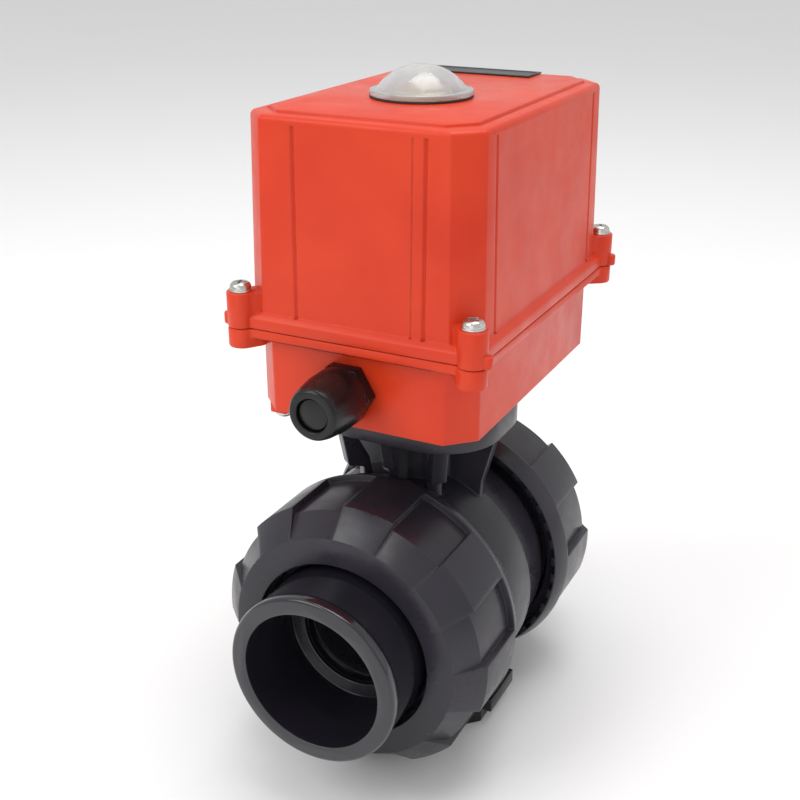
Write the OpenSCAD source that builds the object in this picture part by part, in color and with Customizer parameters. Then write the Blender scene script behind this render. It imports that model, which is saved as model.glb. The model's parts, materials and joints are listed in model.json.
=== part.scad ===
// Motorized quarter-turn ball valve: a plastic double-union valve carrying a gear-driven electric actuator.
// Millimetres. Origin at the centre of the foot's underside, +Z up the stem, +Y along the pipe.
// The cable gland faces -Y. The ball stands open, so the way through runs along Y.

/* [Pipe sockets] */
// Diameter of the plain socket that takes the pipe
socket_d = 63; // [40:0.5:90]
// Depth of each socket
socket_depth = 38; // [25:1:50]
// Wall of the end connector round its socket
connector_wall = 6.7; // [4:0.1:10]
// Length of an end connector, from the valve body's face outwards
connector_len = 45; // [42:1:60]
// Diameter of the way through the valve
port_d = 50; // [30:1:54]

/* [Valve body] */
// Radius of the ball
ball_r = 38.5; // [36:0.5:50]
// Space between the ball and the body round it
cavity_gap = 1.5; // [1:0.1:4]
// Wall between the ball's chamber and the union thread
body_wall = 12; // [10:0.5:18]
// How far the middle barrel stands out past the union thread
barrel_step = 5; // [3:0.5:8]
// Length of the plain barrel between the two nuts
barrel_len = 51; // [46:1:60]
// Distance from the stem axis to each end face of the body
body_half = 58; // [56:1:76]
// Gap between the seats and the ball
seat_gap = 0.3; // [0.2:0.05:0.6]

/* [Union nuts] */
// Thickness of the nut outside its thread
nut_wall = 12; // [10:0.5:16]
// Depth of the grip channels in the nut
channel_depth = 3; // [2:0.25:4]
// Number of grip channels round the nut
channel_count = 8; // [6:1:10]
// Angle taken up by one grip channel
channel_angle = 23; // [12:1:28]
// Number of locking notches on the nut's inner face
notch_count = 40; // [24:1:48]
// Radial clearance between the union threads
thread_gap = 0.3; // [0.2:0.05:0.6]

/* [Foot and neck] */
// Gap between the union nuts and the surface that the valve stands on
ground_gap = 4; // [3:0.5:10]
// Length of the foot plate across the pipe
foot_w = 92; // [82:1:110]
// Width of the foot plate along the pipe
foot_d = 44; // [36:1:46]
// Distance between the two fixing holes in the foot
foot_hole_spacing = 76; // [68:1:78]
// Diameter of the fixing holes in the foot
foot_hole_d = 6.6; // [5:0.1:9]
// Gap between the nuts' tops and the top flange
neck_gap = 16; // [14:1:40]
// Thickness of the top flange
flange_t = 12; // [9:0.5:18]
// Width of the top flange across the pipe
flange_w = 86; // [82:1:104]
// Length of the top flange along the pipe
flange_d = 71; // [70:1:90]
// Pitch circle of the flange bolts
flange_pcd = 50; // [48:1:58]
// Diameter of the flange bolts
flange_bolt_d = 6; // [5:0.5:6]
// Diameter of the valve stem
stem_d = 18; // [15:0.5:19]
// Side of the square on top of the stem
square_side = 12; // [9:0.5:12.5]

/* [Actuator housing] */
// Width of the actuator base across the pipe
base_w = 105; // [104:1:150]
// Length of the actuator base along the pipe
base_l = 152; // [150:1:190]
// Height of the actuator base, up to the parting line
base_h = 37.4; // [36:0.2:50]
// Height of the cover above the parting line
cover_h = 88.4; // [80:0.2:120]
// Width of the flat on each upright corner
corner_flat = 10.5; // [8:0.5:12]
// How far the base's walls stand in from the cover's
base_inset = 2.5; // [1.5:0.25:3.5]
// Wall of the base and cover
case_wall = 4; // [3:0.25:5]
// How far each side of the cover leans in at its top
cover_draft = 1.5; // [0.5:0.25:3]
// Distance from the stem axis to the middle of the housing
housing_shift = 14.2; // [13:0.2:17]
// Height of the mounting pad under the base
pad_h = 6; // [4:0.5:10]
// How far the rims stand out at the parting line
rim_out = 2.5; // [1.5:0.25:4]
// Height of the cover's rim
cover_rim_h = 4.5; // [3:0.5:7]
// Height of the base's rim
base_rim_h = 4; // [3.5:0.5:6]
// Radius of the screw ears
ear_r = 6; // [5.5:0.25:7]
// Height of the screw ears on the cover
cover_ear_h = 15; // [12:0.2:18]
// Depth of the screw ears on the base
base_ear_h = 8.5; // [7:0.5:16]
// Diameter of the cover screws
cover_screw_d = 5; // [4:0.5:5]

/* [Position indicator] */
// Radius of the dome's flange
dome_r = 21.5; // [19:0.5:26]
// Height of the dome above the cover
dome_h = 13; // [12:0.5:18]
// Radius of the hole in the cover under the dome
window_r = 15; // [14:0.5:16]

/* [Gear train] */
// Tooth module of the output pair
output_module = 1.25; // [1.2:0.05:1.3]
// Teeth on the output gear
output_teeth = 48; // [46:1:49]
// Tooth module of the two faster pairs
fast_module = 1; // [0.95:0.05:1]
// Teeth on the second gear's wheel
second_teeth = 45; // [43:1:45]
// Teeth on the first gear's wheel
first_teeth = 40; // [36:1:42]
// Teeth on every pinion
pinion_teeth = 12; // [12:1:13]
// Diameter of the pins that the loose gears turn on
gear_pin_d = 6; // [4:0.5:6]
// Radial running clearance of shafts in their bores
running_gap = 0.05; // [0.02:0.01:0.1]
// Radius of the output shaft where it carries the output gear
shaft_r = 12; // [10:0.25:12.5]

/* [Motor and wiring] */
// Radius of the motor
motor_r = 26; // [22:0.5:27]
// Height of the motor
motor_h = 48; // [36:1:60]
// Width across the flats of the cable gland
gland_flats = 23; // [20:0.5:24]
// Diameter of the cable gland's thread
gland_thread_d = 20; // [16:0.5:20]
// How far the cable gland stands out of the base
gland_out = 29; // [28:0.5:40]

/* [Hidden] */
$fn = 72;
EPS = 0.01;

// Valve radii, from the ball outwards
port_r = port_d / 2;
socket_r = socket_d / 2;
cavity_r = ball_r + cavity_gap;
connector_r = socket_r + connector_wall;
rim_r = connector_r + 0.8;
thread_r = max(cavity_r + body_wall, rim_r + 13);
barrel_r = thread_r + barrel_step;
nut_r = thread_r + nut_wall;
nut_hole_r = rim_r + 2.5;
collar_r = thread_r - 2;
carrier_r = cavity_r + 4;
// Places along the pipe, measured from the stem axis outwards
barrel_half = barrel_len / 2;
nut_start = barrel_half + 0.5;
face_gap = 0.2;
collar_start = body_half + face_gap;
collar_end = collar_start + 8;
nut_shoulder = collar_end + 0.3;
nut_end = nut_shoulder + 11;
connector_end = body_half + connector_len;
thread_len = 20;
thread_start = body_half - thread_len;
seat_back = ball_r - 4.5;
seat_r = port_r + 8;
cavity_half = seat_back - 4;
// The line of a seat's sloping face, which is held the seat gap off the ball at 45 degrees
seat_sum = (ball_r + seat_gap) * sqrt(2);
// Heights
pipe_z = nut_r + ground_gap;
flange_z = pipe_z + nut_r + neck_gap;
flange_top = flange_z + flange_t;
flange_corner = 28;
base_z = flange_top + pad_h;
floor_t = case_wall;
floor_top = base_z + floor_t;
seam_z = base_z + base_h;
cover_top = seam_z + cover_h;
stem_r = stem_d / 2;
square_len = 17;
neck_r = 17;
// Foot
foot_low_h = 8;
foot_high_h = 14;
foot_mid_h = 10;
foot_low_w = foot_w - 10;
insert_x = 12;
foot_screw_r = 3;
insert_r = 4.5;
insert_h = 9;
// Actuator housing in plan
screw_x = base_w / 2 - 0.5;
screw_y = base_l / 2;
body_w = base_w - 2 * base_inset;
body_l = base_l - 2 * base_inset;
base_front = housing_shift - body_l / 2;
inner_w = base_w - 2 * case_wall;
inner_l = base_l - 2 * case_wall;
rim_flat = 5;
rim_slope = 2.5;
pad_w = flange_w - 3;
pad_d = flange_d - 3;
// Gear train: places of the axes, worked out from the teeth so that each pair meshes
second_distance = output_module * (output_teeth + pinion_teeth) / 2;
first_distance = fast_module * (second_teeth + pinion_teeth) / 2;
motor_distance = fast_module * (first_teeth + pinion_teeth) / 2;
second_dir = 117;
first_dir = 49;
motor_dir = 20;
second_at = second_distance * [cos(second_dir), sin(second_dir)];
first_at = second_at + first_distance * [cos(first_dir), sin(first_dir)];
pinion_at = first_at + motor_distance * [cos(motor_dir), sin(motor_dir)];
gear_pin_r = gear_pin_d / 2;
low_gear_z = floor_top + 8;
low_gear_t = 7;
output_gear_z = low_gear_z + low_gear_t + 2;
output_gear_t = 8;
high_gear_z = output_gear_z + output_gear_t + 2;
high_gear_t = 5;
plate_z = high_gear_z + high_gear_t + 2.5;
plate_t = 3;
plate_top = plate_z + plate_t;
plate_w = inner_w - 2 * cover_draft - 3;
plate_front = -46;
plate_back = 80;
post_x = plate_w / 2 - 7;
post_ys = [-38, 73];
upper_shaft_r = 8;
shaft_bottom = flange_top + 0.5;
shaft_top = cover_top - 7;
bush_wall = 3;
bush_r = shaft_r + bush_wall;
seal_h = 4;
boss_top = floor_top + 6;
motor_at = [10, 55];
motor_shaft_r = 3;
cam_r = 13;
cam_t = 6;
open_cam_z = plate_top + 14;
closed_cam_z = open_cam_z + cam_t + 3;
lever_x = cam_r + 0.8;
lever_t = 1;
switch_x = lever_x + lever_t + 1.6;
switch_w = 10;
switch_l = 20;
switch_pivot_y = -switch_l / 2 - 1;
switch_h = 6.4;
gland_at = [-4, base_z + 16];
gland_r = gland_thread_d / 2;
gland_hex_t = 6;
gland_nut_r = 10.3;
gland_nut_end = base_front - gland_out;

// Four corners of a rectangle that is centred on a place
module corners(w, l, at = [0, 0]) {
    for (sx = [-1, 1], sy = [-1, 1]) translate([at[0] + sx * w / 2, at[1] + sy * l / 2, 0]) children();
}

// Outline of a rectangle with flat corners
function chamfered(w, l, c, cy = 0) = [
    [w / 2, cy - l / 2 + c], [w / 2, cy + l / 2 - c], [w / 2 - c, cy + l / 2], [c - w / 2, cy + l / 2],
    [-w / 2, cy + l / 2 - c], [-w / 2, cy - l / 2 + c], [c - w / 2, cy - l / 2], [w / 2 - c, cy - l / 2]];

// Prism on such an outline, centred on the actuator housing
module case_prism(w, l, c, z0, z1) {
    translate([0, 0, z0]) linear_extrude(z1 - z0) polygon(chamfered(w, l, c, housing_shift));
}

// Prism whose outline shrinks by the draft towards its top
module case_taper(w, l, c, z0, z1, lean) {
    hull() {
        case_prism(w, l, c, z0, z0 + EPS);
        case_prism(w - 2 * lean, l - 2 * lean, c, z1 - EPS, z1);
    }
}

// Rounded plate with exact corner arcs
module rounded_plate(w, l, r, t) {
    linear_extrude(t) {
        square([w - 2 * r, l], center = true);
        square([w, l - 2 * r], center = true);
        corners(w - 2 * r, l - 2 * r) circle(r);
    }
}

// Turned shape on the pipe axis: points are [radius, distance from the stem axis]; side is 1 rear or -1 front
module pipe_turned(points, side = 1) {
    translate([0, 0, pipe_z]) rotate([side * -90, 0, 0]) rotate_extrude($fn = 96) polygon(points);
}

// Ring of round section on the pipe axis
module pipe_oring(r, section, at) {
    translate([0, at, pipe_z]) rotate([-90, 0, 0]) rotate_extrude($fn = 96) translate([r, 0]) circle(section, $fn = 24);
}

// Turned shape on an upright axis: points are [radius, height]
module upright(points, at = [0, 0]) {
    translate([at[0], at[1], 0]) rotate_extrude() polygon(points);
}

// Ring of round section on the stem axis
module stem_oring(r, section, z) {
    translate([0, 0, z]) rotate_extrude() translate([r, 0]) circle(section, $fn = 24);
}

// Upright tube wall or bush
module tube(r_out, r_in, z0, z1, at = [0, 0]) {
    translate([at[0], at[1], z0]) difference() {
        cylinder(r = r_out, h = z1 - z0);
        translate([0, 0, -1]) cylinder(r = r_in, h = z1 - z0 + 2);
    }
}

// Cheese-head screw with a hexagon socket, head uppermost, its seat at the origin
module socket_screw(d, head_h, shank) {
    difference() {
        union() {
            cylinder(r = d * 0.85, h = head_h);
            translate([0, 0, -shank]) cylinder(r = d / 2, h = shank + EPS);
        }
        translate([0, 0, head_h * 0.4]) cylinder(r = d * 0.48, h = head_h, $fn = 6);
    }
}

// ---- Gear teeth ----
PRESSURE = 20;
function involute_deg(r, rb) = r <= rb ? 0 : let (a = acos(rb / r)) tan(a) * 180 / PI - a;
// Half the angle that a tooth takes up at radius r, with some play taken off
function tooth_half(r, m, teeth) = let (rp = m * teeth / 2, rb = rp * cos(PRESSURE))
    90 / teeth - 0.13 * m / rp * 180 / PI + involute_deg(rp, rb) - involute_deg(r, rb);
function on_circle(r, a) = [r * cos(a), r * sin(a)];
function gear_points(m, teeth, phase) = let (
    rp = m * teeth / 2,
    radii = [rp - 1.15 * m, rp - 0.55 * m, rp, rp + 0.45 * m, rp + 0.85 * m])
    [for (i = [0:teeth - 1]) let (mid = phase + i * 360 / teeth)
        each concat([for (r = radii) on_circle(r, mid - tooth_half(r, m, teeth))],
            [for (k = [len(radii) - 1:-1:0]) on_circle(radii[k], mid + tooth_half(radii[k], m, teeth))])];
module toothed(m, teeth, phase, t) {
    linear_extrude(t) polygon(gear_points(m, teeth, phase));
}

// ---- Valve ----
module neck_strut(angle) {
    // Corner strut from the barrel up to the flange's corner, clear of the union nut
    rotate([0, 0, angle]) translate([0, 3.5, 0]) rotate([90, 0, 0]) linear_extrude(7)
        polygon([[22, pipe_z + barrel_r - 12], [28, pipe_z + barrel_r - 12], [28.5, pipe_z + nut_r - 3],
            [36, pipe_z + nut_r - 1], [flange_d / 2 + 4, flange_z + 1], [34, flange_z + 1],
            [26, pipe_z + nut_r + 2]]);
}

module neck_rib(side) {
    // Middle rib under the flange's long edge
    translate([-2.5, 0, 0]) rotate([90, 0, 90]) linear_extrude(5) polygon([[side * 12, flange_z + 1],
        [side * (flange_d / 2 - 1), flange_z + 1], [side * (flange_d / 2 - 4), pipe_z + nut_r + 3],
        [side * (barrel_half + 1), pipe_z + nut_r + 1], [side * (barrel_half - 1), pipe_z + barrel_r - 5],
        [side * 12, pipe_z + barrel_r - 5]]);
}

module neck_gusset(side) {
    // Tapering gusset under the flange's short edge
    translate([0, 3, 0]) rotate([90, 0, 0]) linear_extrude(6) polygon([[side * 12, flange_z + 1],
        [side * (flange_w / 2 - 3), flange_z + 1], [side * 33, pipe_z + barrel_r - 2],
        [side * 32, pipe_z + barrel_r - 16], [side * 12, pipe_z + barrel_r - 5]]);
}

module valve_body() color([0.20, 0.20, 0.22]) difference() {
    union() {
        pipe_turned([[0, -body_half], [thread_r - 1.5, -body_half], [thread_r, -body_half + 1.5],
            [thread_r, -thread_start], [thread_r - 1.5, 1.5 - thread_start], [thread_r - 1.5, -barrel_half],
            [barrel_r, -barrel_half], [barrel_r, 3], [barrel_r - 3, 6], [barrel_r - 3, barrel_half],
            [thread_r - 1.5, barrel_half], [thread_r - 1.5, thread_start - 1.5], [thread_r, thread_start],
            [thread_r, body_half - 1.5], [thread_r - 1.5, body_half], [0, body_half]]);
        translate([0, 0, pipe_z]) cylinder(r = neck_r, h = flange_z - pipe_z + 1);
        translate([0, 0, flange_z]) rounded_plate(flange_w, flange_d, flange_corner, flange_t);
        for (a = [50, 130, 230, 310]) neck_strut(a);
        for (side = [-1, 1]) neck_rib(side);
        for (side = [-1, 1]) neck_gusset(side);
        translate([-20, -18, foot_mid_h]) cube([40, 36, pipe_z - barrel_r - foot_mid_h + 8]);
    }
    // Chamber, seat carrier's bore, rear seat's pocket and the way through
    pipe_turned([[0, -body_half - 1], [carrier_r, -body_half - 1], [carrier_r, -cavity_half],
        [cavity_r, -cavity_half], [cavity_r, cavity_half], [seat_r, cavity_half], [seat_r, seat_back],
        [port_r, seat_back], [port_r, body_half + 1], [0, body_half + 1]]);
    // Stem bore and the pocket for the stem's collar
    translate([0, 0, pipe_z]) cylinder(r = stem_r + running_gap, h = flange_top - pipe_z + 1);
    translate([0, 0, pipe_z]) cylinder(r = stem_r + 3.3, h = cavity_r + 4.3);
    // Grooves for the face seals
    for (side = [-1, 1]) pipe_turned([[carrier_r + 1.5, body_half - 2.4], [carrier_r + 5.5, body_half - 2.4],
        [carrier_r + 5.5, body_half + 1], [carrier_r + 1.5, body_half + 1]], side);
    // Flange bolt holes
    for (a = [45:90:315]) rotate([0, 0, a]) translate([flange_pcd / 2, 0, flange_z - 1])
        cylinder(r = flange_bolt_d / 2 + 0.3, h = flange_t + 2);
    // Holes for the threaded inserts
    for (side = [-1, 1]) translate([side * insert_x, 0, foot_mid_h - 1]) cylinder(r = insert_r, h = insert_h + 1);
}

module foot_plate() color([0.07, 0.07, 0.08]) difference() {
    union() {
        linear_extrude(foot_low_h) polygon(chamfered(foot_low_w, foot_d, 8));
        linear_extrude(foot_mid_h) square([44, foot_d - 4], center = true);
        for (side = [-1, 1]) translate([side * (foot_w / 2 - 12) - 12, 8 - foot_d / 2, foot_low_h - 1])
            cube([24, foot_d - 16, foot_high_h - foot_low_h + 1]);
    }
    for (side = [-1, 1]) translate([side * foot_hole_spacing / 2, 0, -1])
        cylinder(r = foot_hole_d / 2, h = foot_high_h + 2);
    for (side = [-1, 1]) translate([side * insert_x, 0, -1]) {
        cylinder(r = foot_screw_r + 0.3, h = foot_mid_h + 2);
        cylinder(r = foot_screw_r * 1.7 + 0.5, h = 5 + 1);
    }
}

module foot_screws() color([0.7, 0.7, 0.72]) for (side = [-1, 1])
    translate([side * insert_x, 0, 5]) rotate([180, 0, 0]) socket_screw(foot_screw_r * 2, 4, 12);

module foot_inserts() color([0.75, 0.6, 0.25]) for (side = [-1, 1])
    tube(insert_r, foot_screw_r, foot_mid_h, foot_mid_h + insert_h, [side * insert_x, 0]);

slot_w = 10;
slot_l = 25;
slot_depth = 9;
module ball() color([0.24, 0.24, 0.26]) difference() {
    translate([0, 0, pipe_z]) sphere(ball_r, $fn = 96);
    translate([0, 0, pipe_z]) rotate([90, 0, 0]) cylinder(r = port_r, h = 2 * ball_r + 2, center = true);
    translate([-slot_w / 2, -slot_l / 2, pipe_z + ball_r - slot_depth]) cube([slot_w, slot_l, slot_depth + 1]);
}

module seat(side) {
    pipe_turned([[port_r + 0.5, seat_sum - port_r - 0.5], [seat_r, seat_sum - seat_r], [seat_r, seat_back],
        [port_r + 0.5, seat_back]], side);
}
module front_seat() color([0.93, 0.93, 0.9]) seat(-1);
module rear_seat() color([0.93, 0.93, 0.9]) seat(1);

carrier_groove = [body_half - 12, 3.4, 2.4];
module seat_carrier() color([0.26, 0.26, 0.28]) difference() {
    pipe_turned([[port_r, seat_back], [seat_r, seat_back], [seat_r, cavity_half], [carrier_r, cavity_half],
        [carrier_r, body_half - 0.4], [port_r, body_half - 0.4]], -1);
    pipe_turned([[carrier_r - carrier_groove[2], carrier_groove[0]], [carrier_r + 1, carrier_groove[0]],
        [carrier_r + 1, carrier_groove[0] + carrier_groove[1]],
        [carrier_r - carrier_groove[2], carrier_groove[0] + carrier_groove[1]]], -1);
    // Two keyways for the tool that screws the carrier in
    for (side = [-1, 1]) translate([side * (port_r + 6) - 3, -body_half - 1, pipe_z - 3]) cube([6, 5, 6]);
}

module carrier_oring() color([0.05, 0.05, 0.05])
    pipe_oring(carrier_r - 1.25, 1.15, -carrier_groove[0] - carrier_groove[1] / 2);

module face_orings() color([0.05, 0.05, 0.05]) for (side = [-1, 1])
    pipe_oring(carrier_r + 3.5, 1.2, side * (body_half - 1.2));

stem_grooves = [flange_z - 6, flange_z + 2];
stem_foot = pipe_z + ball_r - slot_depth + 0.3;
module stem() color([0.30, 0.30, 0.32]) difference() {
    union() {
        // Tongue in the ball's slot
        translate([0.2 - slot_w / 2, 0.2 - slot_l / 2, stem_foot]) intersection() {
            cube([slot_w - 0.4, slot_l - 0.4, slot_depth + 1]);
            translate([slot_w / 2, slot_l / 2, 0]) cylinder(r = stem_r + 3, h = slot_depth + 2);
        }
        upright([[0, pipe_z + ball_r + 0.5], [stem_r + 3, pipe_z + ball_r + 0.5],
            [stem_r + 3, pipe_z + cavity_r + 4], [stem_r, pipe_z + cavity_r + 4], [stem_r, flange_top - 1],
            [stem_r - 1, flange_top], [0, flange_top]]);
        translate([-square_side / 2, -square_side / 2, flange_top - 1])
            cube([square_side, square_side, square_len + 1]);
    }
    for (z = stem_grooves) tube(stem_r + 1, stem_r - 2, z, z + 3);
}

module stem_orings() color([0.05, 0.05, 0.05]) for (z = stem_grooves) stem_oring(stem_r - 1, 1, z + 1.5);

module end_connector(side) {
    stop = connector_end - socket_depth;
    pipe_turned([[port_r, collar_start], [collar_r, collar_start], [collar_r, collar_end - 1],
        [collar_r - 1, collar_end], [connector_r, collar_end], [connector_r, connector_end - 6],
        [rim_r, connector_end - 5], [rim_r, connector_end - 1], [rim_r - 1, connector_end],
        [socket_r, connector_end], [socket_r, stop], [port_r, stop]], side);
}
module front_end_connector() color([0.17, 0.17, 0.18]) end_connector(-1);
module rear_end_connector() color([0.17, 0.17, 0.18]) end_connector(1);

front_cone_r = nut_r - 11;
module union_nut(side) {
    bore = thread_r + thread_gap;
    cone_start = nut_end - 12.3;
    difference() {
        pipe_turned([[nut_r - 5.5, nut_start], [nut_r - 3, nut_start], [nut_r, nut_start + 8], [nut_r, cone_start],
            [front_cone_r, nut_end - 1.3], [nut_hole_r, nut_end], [nut_hole_r, nut_shoulder],
            [bore, nut_shoulder], [bore, thread_start], [bore + 2, thread_start - 2],
            [bore + 2, nut_start + 6], [nut_r - 5.5, nut_start + 6]], side);
        for (i = [0:channel_count - 1]) translate([0, 0, pipe_z]) rotate([side * -90, 0, 0])
            rotate([0, 0, (i + 0.5) * 360 / channel_count + side * 7.5]) rotate([0, 0, -channel_angle / 2])
            rotate_extrude(angle = channel_angle) polygon([[nut_r - channel_depth, nut_start + 9],
                [nut_r + 1, nut_start + 7.5], [nut_r + 1, nut_end], [front_cone_r + 1, nut_end],
                [front_cone_r, nut_end - 1.3], [nut_r - channel_depth, cone_start]]);
        for (i = [0:notch_count - 1]) translate([0, 0, pipe_z]) rotate([0, i * 360 / notch_count, 0])
            translate([-2.5, side > 0 ? nut_start - 1 : -nut_start - 5, nut_r - 7]) cube([5, 6, 3.2]);
    }
}
module front_union_nut() color([0.22, 0.22, 0.24]) union_nut(-1);
module rear_union_nut() color([0.22, 0.22, 0.24]) union_nut(1);

module at_flange_bolts() {
    for (a = [45:90:315]) rotate([0, 0, a]) translate([flange_pcd / 2, 0, flange_z]) children();
}
bolt_len = flange_t + pad_h + 2;
module flange_bolts() color([0.7, 0.7, 0.72]) at_flange_bolts() translate([0, 0, -1.2]) rotate([180, 0, 0])
    union() {
        cylinder(r = flange_bolt_d * 0.9, h = 4, $fn = 6);
        translate([0, 0, -bolt_len]) cylinder(r = flange_bolt_d / 2, h = bolt_len + EPS);
    }

module flange_washers() color([0.75, 0.75, 0.76]) at_flange_bolts()
    tube(flange_bolt_d * 0.92, flange_bolt_d / 2 + 0.2, -1.2, 0);

// ---- Actuator housing ----
module at_cover_screws() {
    corners(2 * screw_x, 2 * screw_y, [0, housing_shift]) children();
}

// Screw ears, each joined by a web to the corner flat behind it
module ears(z0, h) {
    for (sx = [-1, 1], sy = [-1, 1]) translate([sx * screw_x, housing_shift + sy * screw_y, z0]) hull() {
        cylinder(r = ear_r, h = h);
        translate([-sx * 4, -sy * 4, 0]) cylinder(r = ear_r - 1, h = h);
    }
}

module base_housing() color([0.83, 0.25, 0.13]) difference() {
    union() {
        case_prism(body_w, body_l, corner_flat, base_z, seam_z);
        case_prism(base_w + 2 * rim_out, base_l + 2 * rim_out, rim_flat, seam_z - base_rim_h, seam_z);
        translate([0, 0, flange_top]) rounded_plate(pad_w, pad_d, flange_corner - 1.5, pad_h + 1);
        ears(seam_z - base_ear_h, base_ear_h);
        // Lug for the earth screw, under the left front corner
        translate([3 - body_w / 2, base_front + 7.5, base_z - 5]) cube([8, 10, 8]);
    }
    difference() {
        case_prism(body_w - 2 * case_wall, body_l - 2 * case_wall, corner_flat - 2, floor_top, seam_z + 1);
        translate([0, 0, base_z]) cylinder(r = bush_r + 5, h = boss_top - base_z);
        for (at = [second_at, first_at]) translate([at[0], at[1], base_z])
            cylinder(r = gear_pin_r + 3.5, h = low_gear_z - 0.5 - base_z);
        translate([pinion_at[0], pinion_at[1], base_z]) cylinder(r = 9, h = boss_top - base_z);
        for (y = post_ys, side = [-1, 1]) translate([side * post_x, y, base_z]) cylinder(r = 6, h = boss_top - base_z);
    }
    // Output shaft's bore, with the bush and the seal
    translate([0, 0, flange_top - 1]) cylinder(r = bush_r, h = boss_top - flange_top + 2);
    // Tapped holes for the flange bolts
    at_flange_bolts() cylinder(r = flange_bolt_d / 2, h = flange_t + pad_h + 2.5);
    // Blind holes for the gear pins and the post screws
    for (at = [second_at, first_at]) translate([at[0], at[1], floor_top - 1]) cylinder(r = gear_pin_r, h = 20);
    for (y = post_ys, side = [-1, 1]) translate([side * post_x, y, boss_top - 5]) cylinder(r = 2, h = 6);
    // Override bore, wider below for its cap
    translate([pinion_at[0], pinion_at[1], base_z - 1]) {
        cylinder(r = 4 + running_gap, h = 20);
        cylinder(r = 6, h = 4);
    }
    // Tapped holes for the cover screws
    at_cover_screws() translate([0, 0, seam_z - base_ear_h + 1.5])
        cylinder(r = cover_screw_d / 2 + running_gap, h = 20);
    // Cable entry
    translate([gland_at[0], base_front - 1, gland_at[1]]) rotate([-90, 0, 0]) cylinder(r = gland_r, h = case_wall + 2);
    // Gasket groove
    difference() {
        case_prism(base_w - 1, base_l - 1, corner_flat, seam_z - 1.6, seam_z + 1);
        case_prism(base_w - 5, base_l - 5, corner_flat - 0.6, seam_z - 2, seam_z + 2);
    }
    // Earth screw's hole
    translate([7 - body_w / 2, base_front + 12.5, base_z - 6]) cylinder(r = 2, h = 7);
}

module cover_gasket() color([0.1, 0.1, 0.1]) difference() {
    case_prism(base_w - 1, base_l - 1, corner_flat, seam_z - 1.6, seam_z - 0.1);
    case_prism(base_w - 5, base_l - 5, corner_flat - 0.6, seam_z - 2, seam_z + 1);
}

cover_gap = 0.2;
cover_bottom = seam_z + cover_gap;
module cover() color([0.85, 0.27, 0.14]) difference() {
    union() {
        case_taper(base_w, base_l, corner_flat, cover_bottom, cover_top - 3, cover_draft);
        case_taper(base_w - 2 * cover_draft, base_l - 2 * cover_draft, corner_flat, cover_top - 3, cover_top, 2.5);
        case_prism(base_w + 2 * rim_out, base_l + 2 * rim_out, rim_flat, cover_bottom, cover_bottom + cover_rim_h);
        case_taper(base_w + 2 * rim_out, base_l + 2 * rim_out, rim_flat, cover_bottom + cover_rim_h - EPS,
            cover_bottom + cover_rim_h + rim_slope, rim_out + 0.2);
        ears(cover_bottom, cover_ear_h);
    }
    case_taper(inner_w, inner_l, corner_flat - 2, cover_bottom - 1, cover_top - case_wall, cover_draft);
    at_cover_screws() translate([0, 0, cover_bottom - 1]) cylinder(r = cover_screw_d / 2 + 0.4, h = cover_ear_h + 2);
    translate([0, 0, cover_top - case_wall - 1]) cylinder(r = window_r, h = case_wall + 2);
}

washer_z = cover_bottom + cover_ear_h;
module cover_washers() color([0.8, 0.8, 0.8]) at_cover_screws() tube(4.8, cover_screw_d / 2 + 0.2, washer_z, washer_z + 1);

module pan_screw(d, head_r, head_h, shank) {
    difference() {
        union() {
            rotate_extrude() polygon([[0, 0], [head_r, 0], [head_r, head_h * 0.5], [head_r - 0.8, head_h * 0.9],
                [head_r - 1.8, head_h], [0, head_h]]);
            translate([0, 0, -shank]) cylinder(r = d / 2, h = shank + EPS);
        }
        for (a = [0, 90]) rotate([0, 0, a]) translate([-0.55, -head_r * 0.6, head_h * 0.4])
            cube([1.1, head_r * 1.2, head_h]);
    }
}

module cover_screws() color([0.8, 0.8, 0.8]) at_cover_screws() translate([0, 0, washer_z + 1])
    pan_screw(cover_screw_d, 4.4, 3, cover_ear_h + base_ear_h - 3);

gasket_t = 1;
dome_flange_t = 2;
dome_base_r = dome_r - 2.5;
dome_rise = dome_h - gasket_t - dome_flange_t;
dome_sphere_r = (dome_base_r * dome_base_r + dome_rise * dome_rise) / (2 * dome_rise);
module dome_cap(r, base_r, centre_z) {
    intersection() {
        translate([0, 0, centre_z]) sphere(r);
        translate([0, 0, cover_top + gasket_t + dome_flange_t - 1]) cylinder(r = base_r, h = dome_h);
    }
}
module indicator_dome() color([0.9, 0.92, 0.92, 0.6]) difference() {
    centre = cover_top + dome_h - dome_sphere_r;
    union() {
        translate([0, 0, cover_top + gasket_t]) cylinder(r = dome_r, h = dome_flange_t);
        dome_cap(dome_sphere_r, dome_base_r, centre);
    }
    dome_cap(dome_sphere_r - 1.8, dome_base_r, centre);
    translate([0, 0, cover_top]) cylinder(r = dome_base_r - 2.5, h = gasket_t + dome_flange_t + EPS);
}

module dome_gasket() color([0.1, 0.1, 0.1])
    tube(dome_r, dome_base_r - 2.5, cover_top, cover_top + gasket_t);

plate_label = [56, 16, 0.8];
module nameplate() color([0.15, 0.16, 0.17])
    translate([-7 - plate_label[0] / 2, housing_shift + base_l / 2 - cover_draft - 5 - plate_label[1], cover_top])
    cube(plate_label);

module position_indicator() color([0.85, 0.75, 0.1]) difference() {
    union() {
        translate([0, 0, shaft_top + 0.3]) cylinder(r = 7, h = cover_top - 2 - shaft_top);
        translate([0, 0, cover_top - 2]) cylinder(r = window_r - 2, h = 3);
        translate([-2, -window_r + 3, cover_top]) cube([4, 2 * window_r - 6, 4.5]);
    }
    translate([0, 0, shaft_top]) cylinder(r = 4, h = 8);
}

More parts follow.
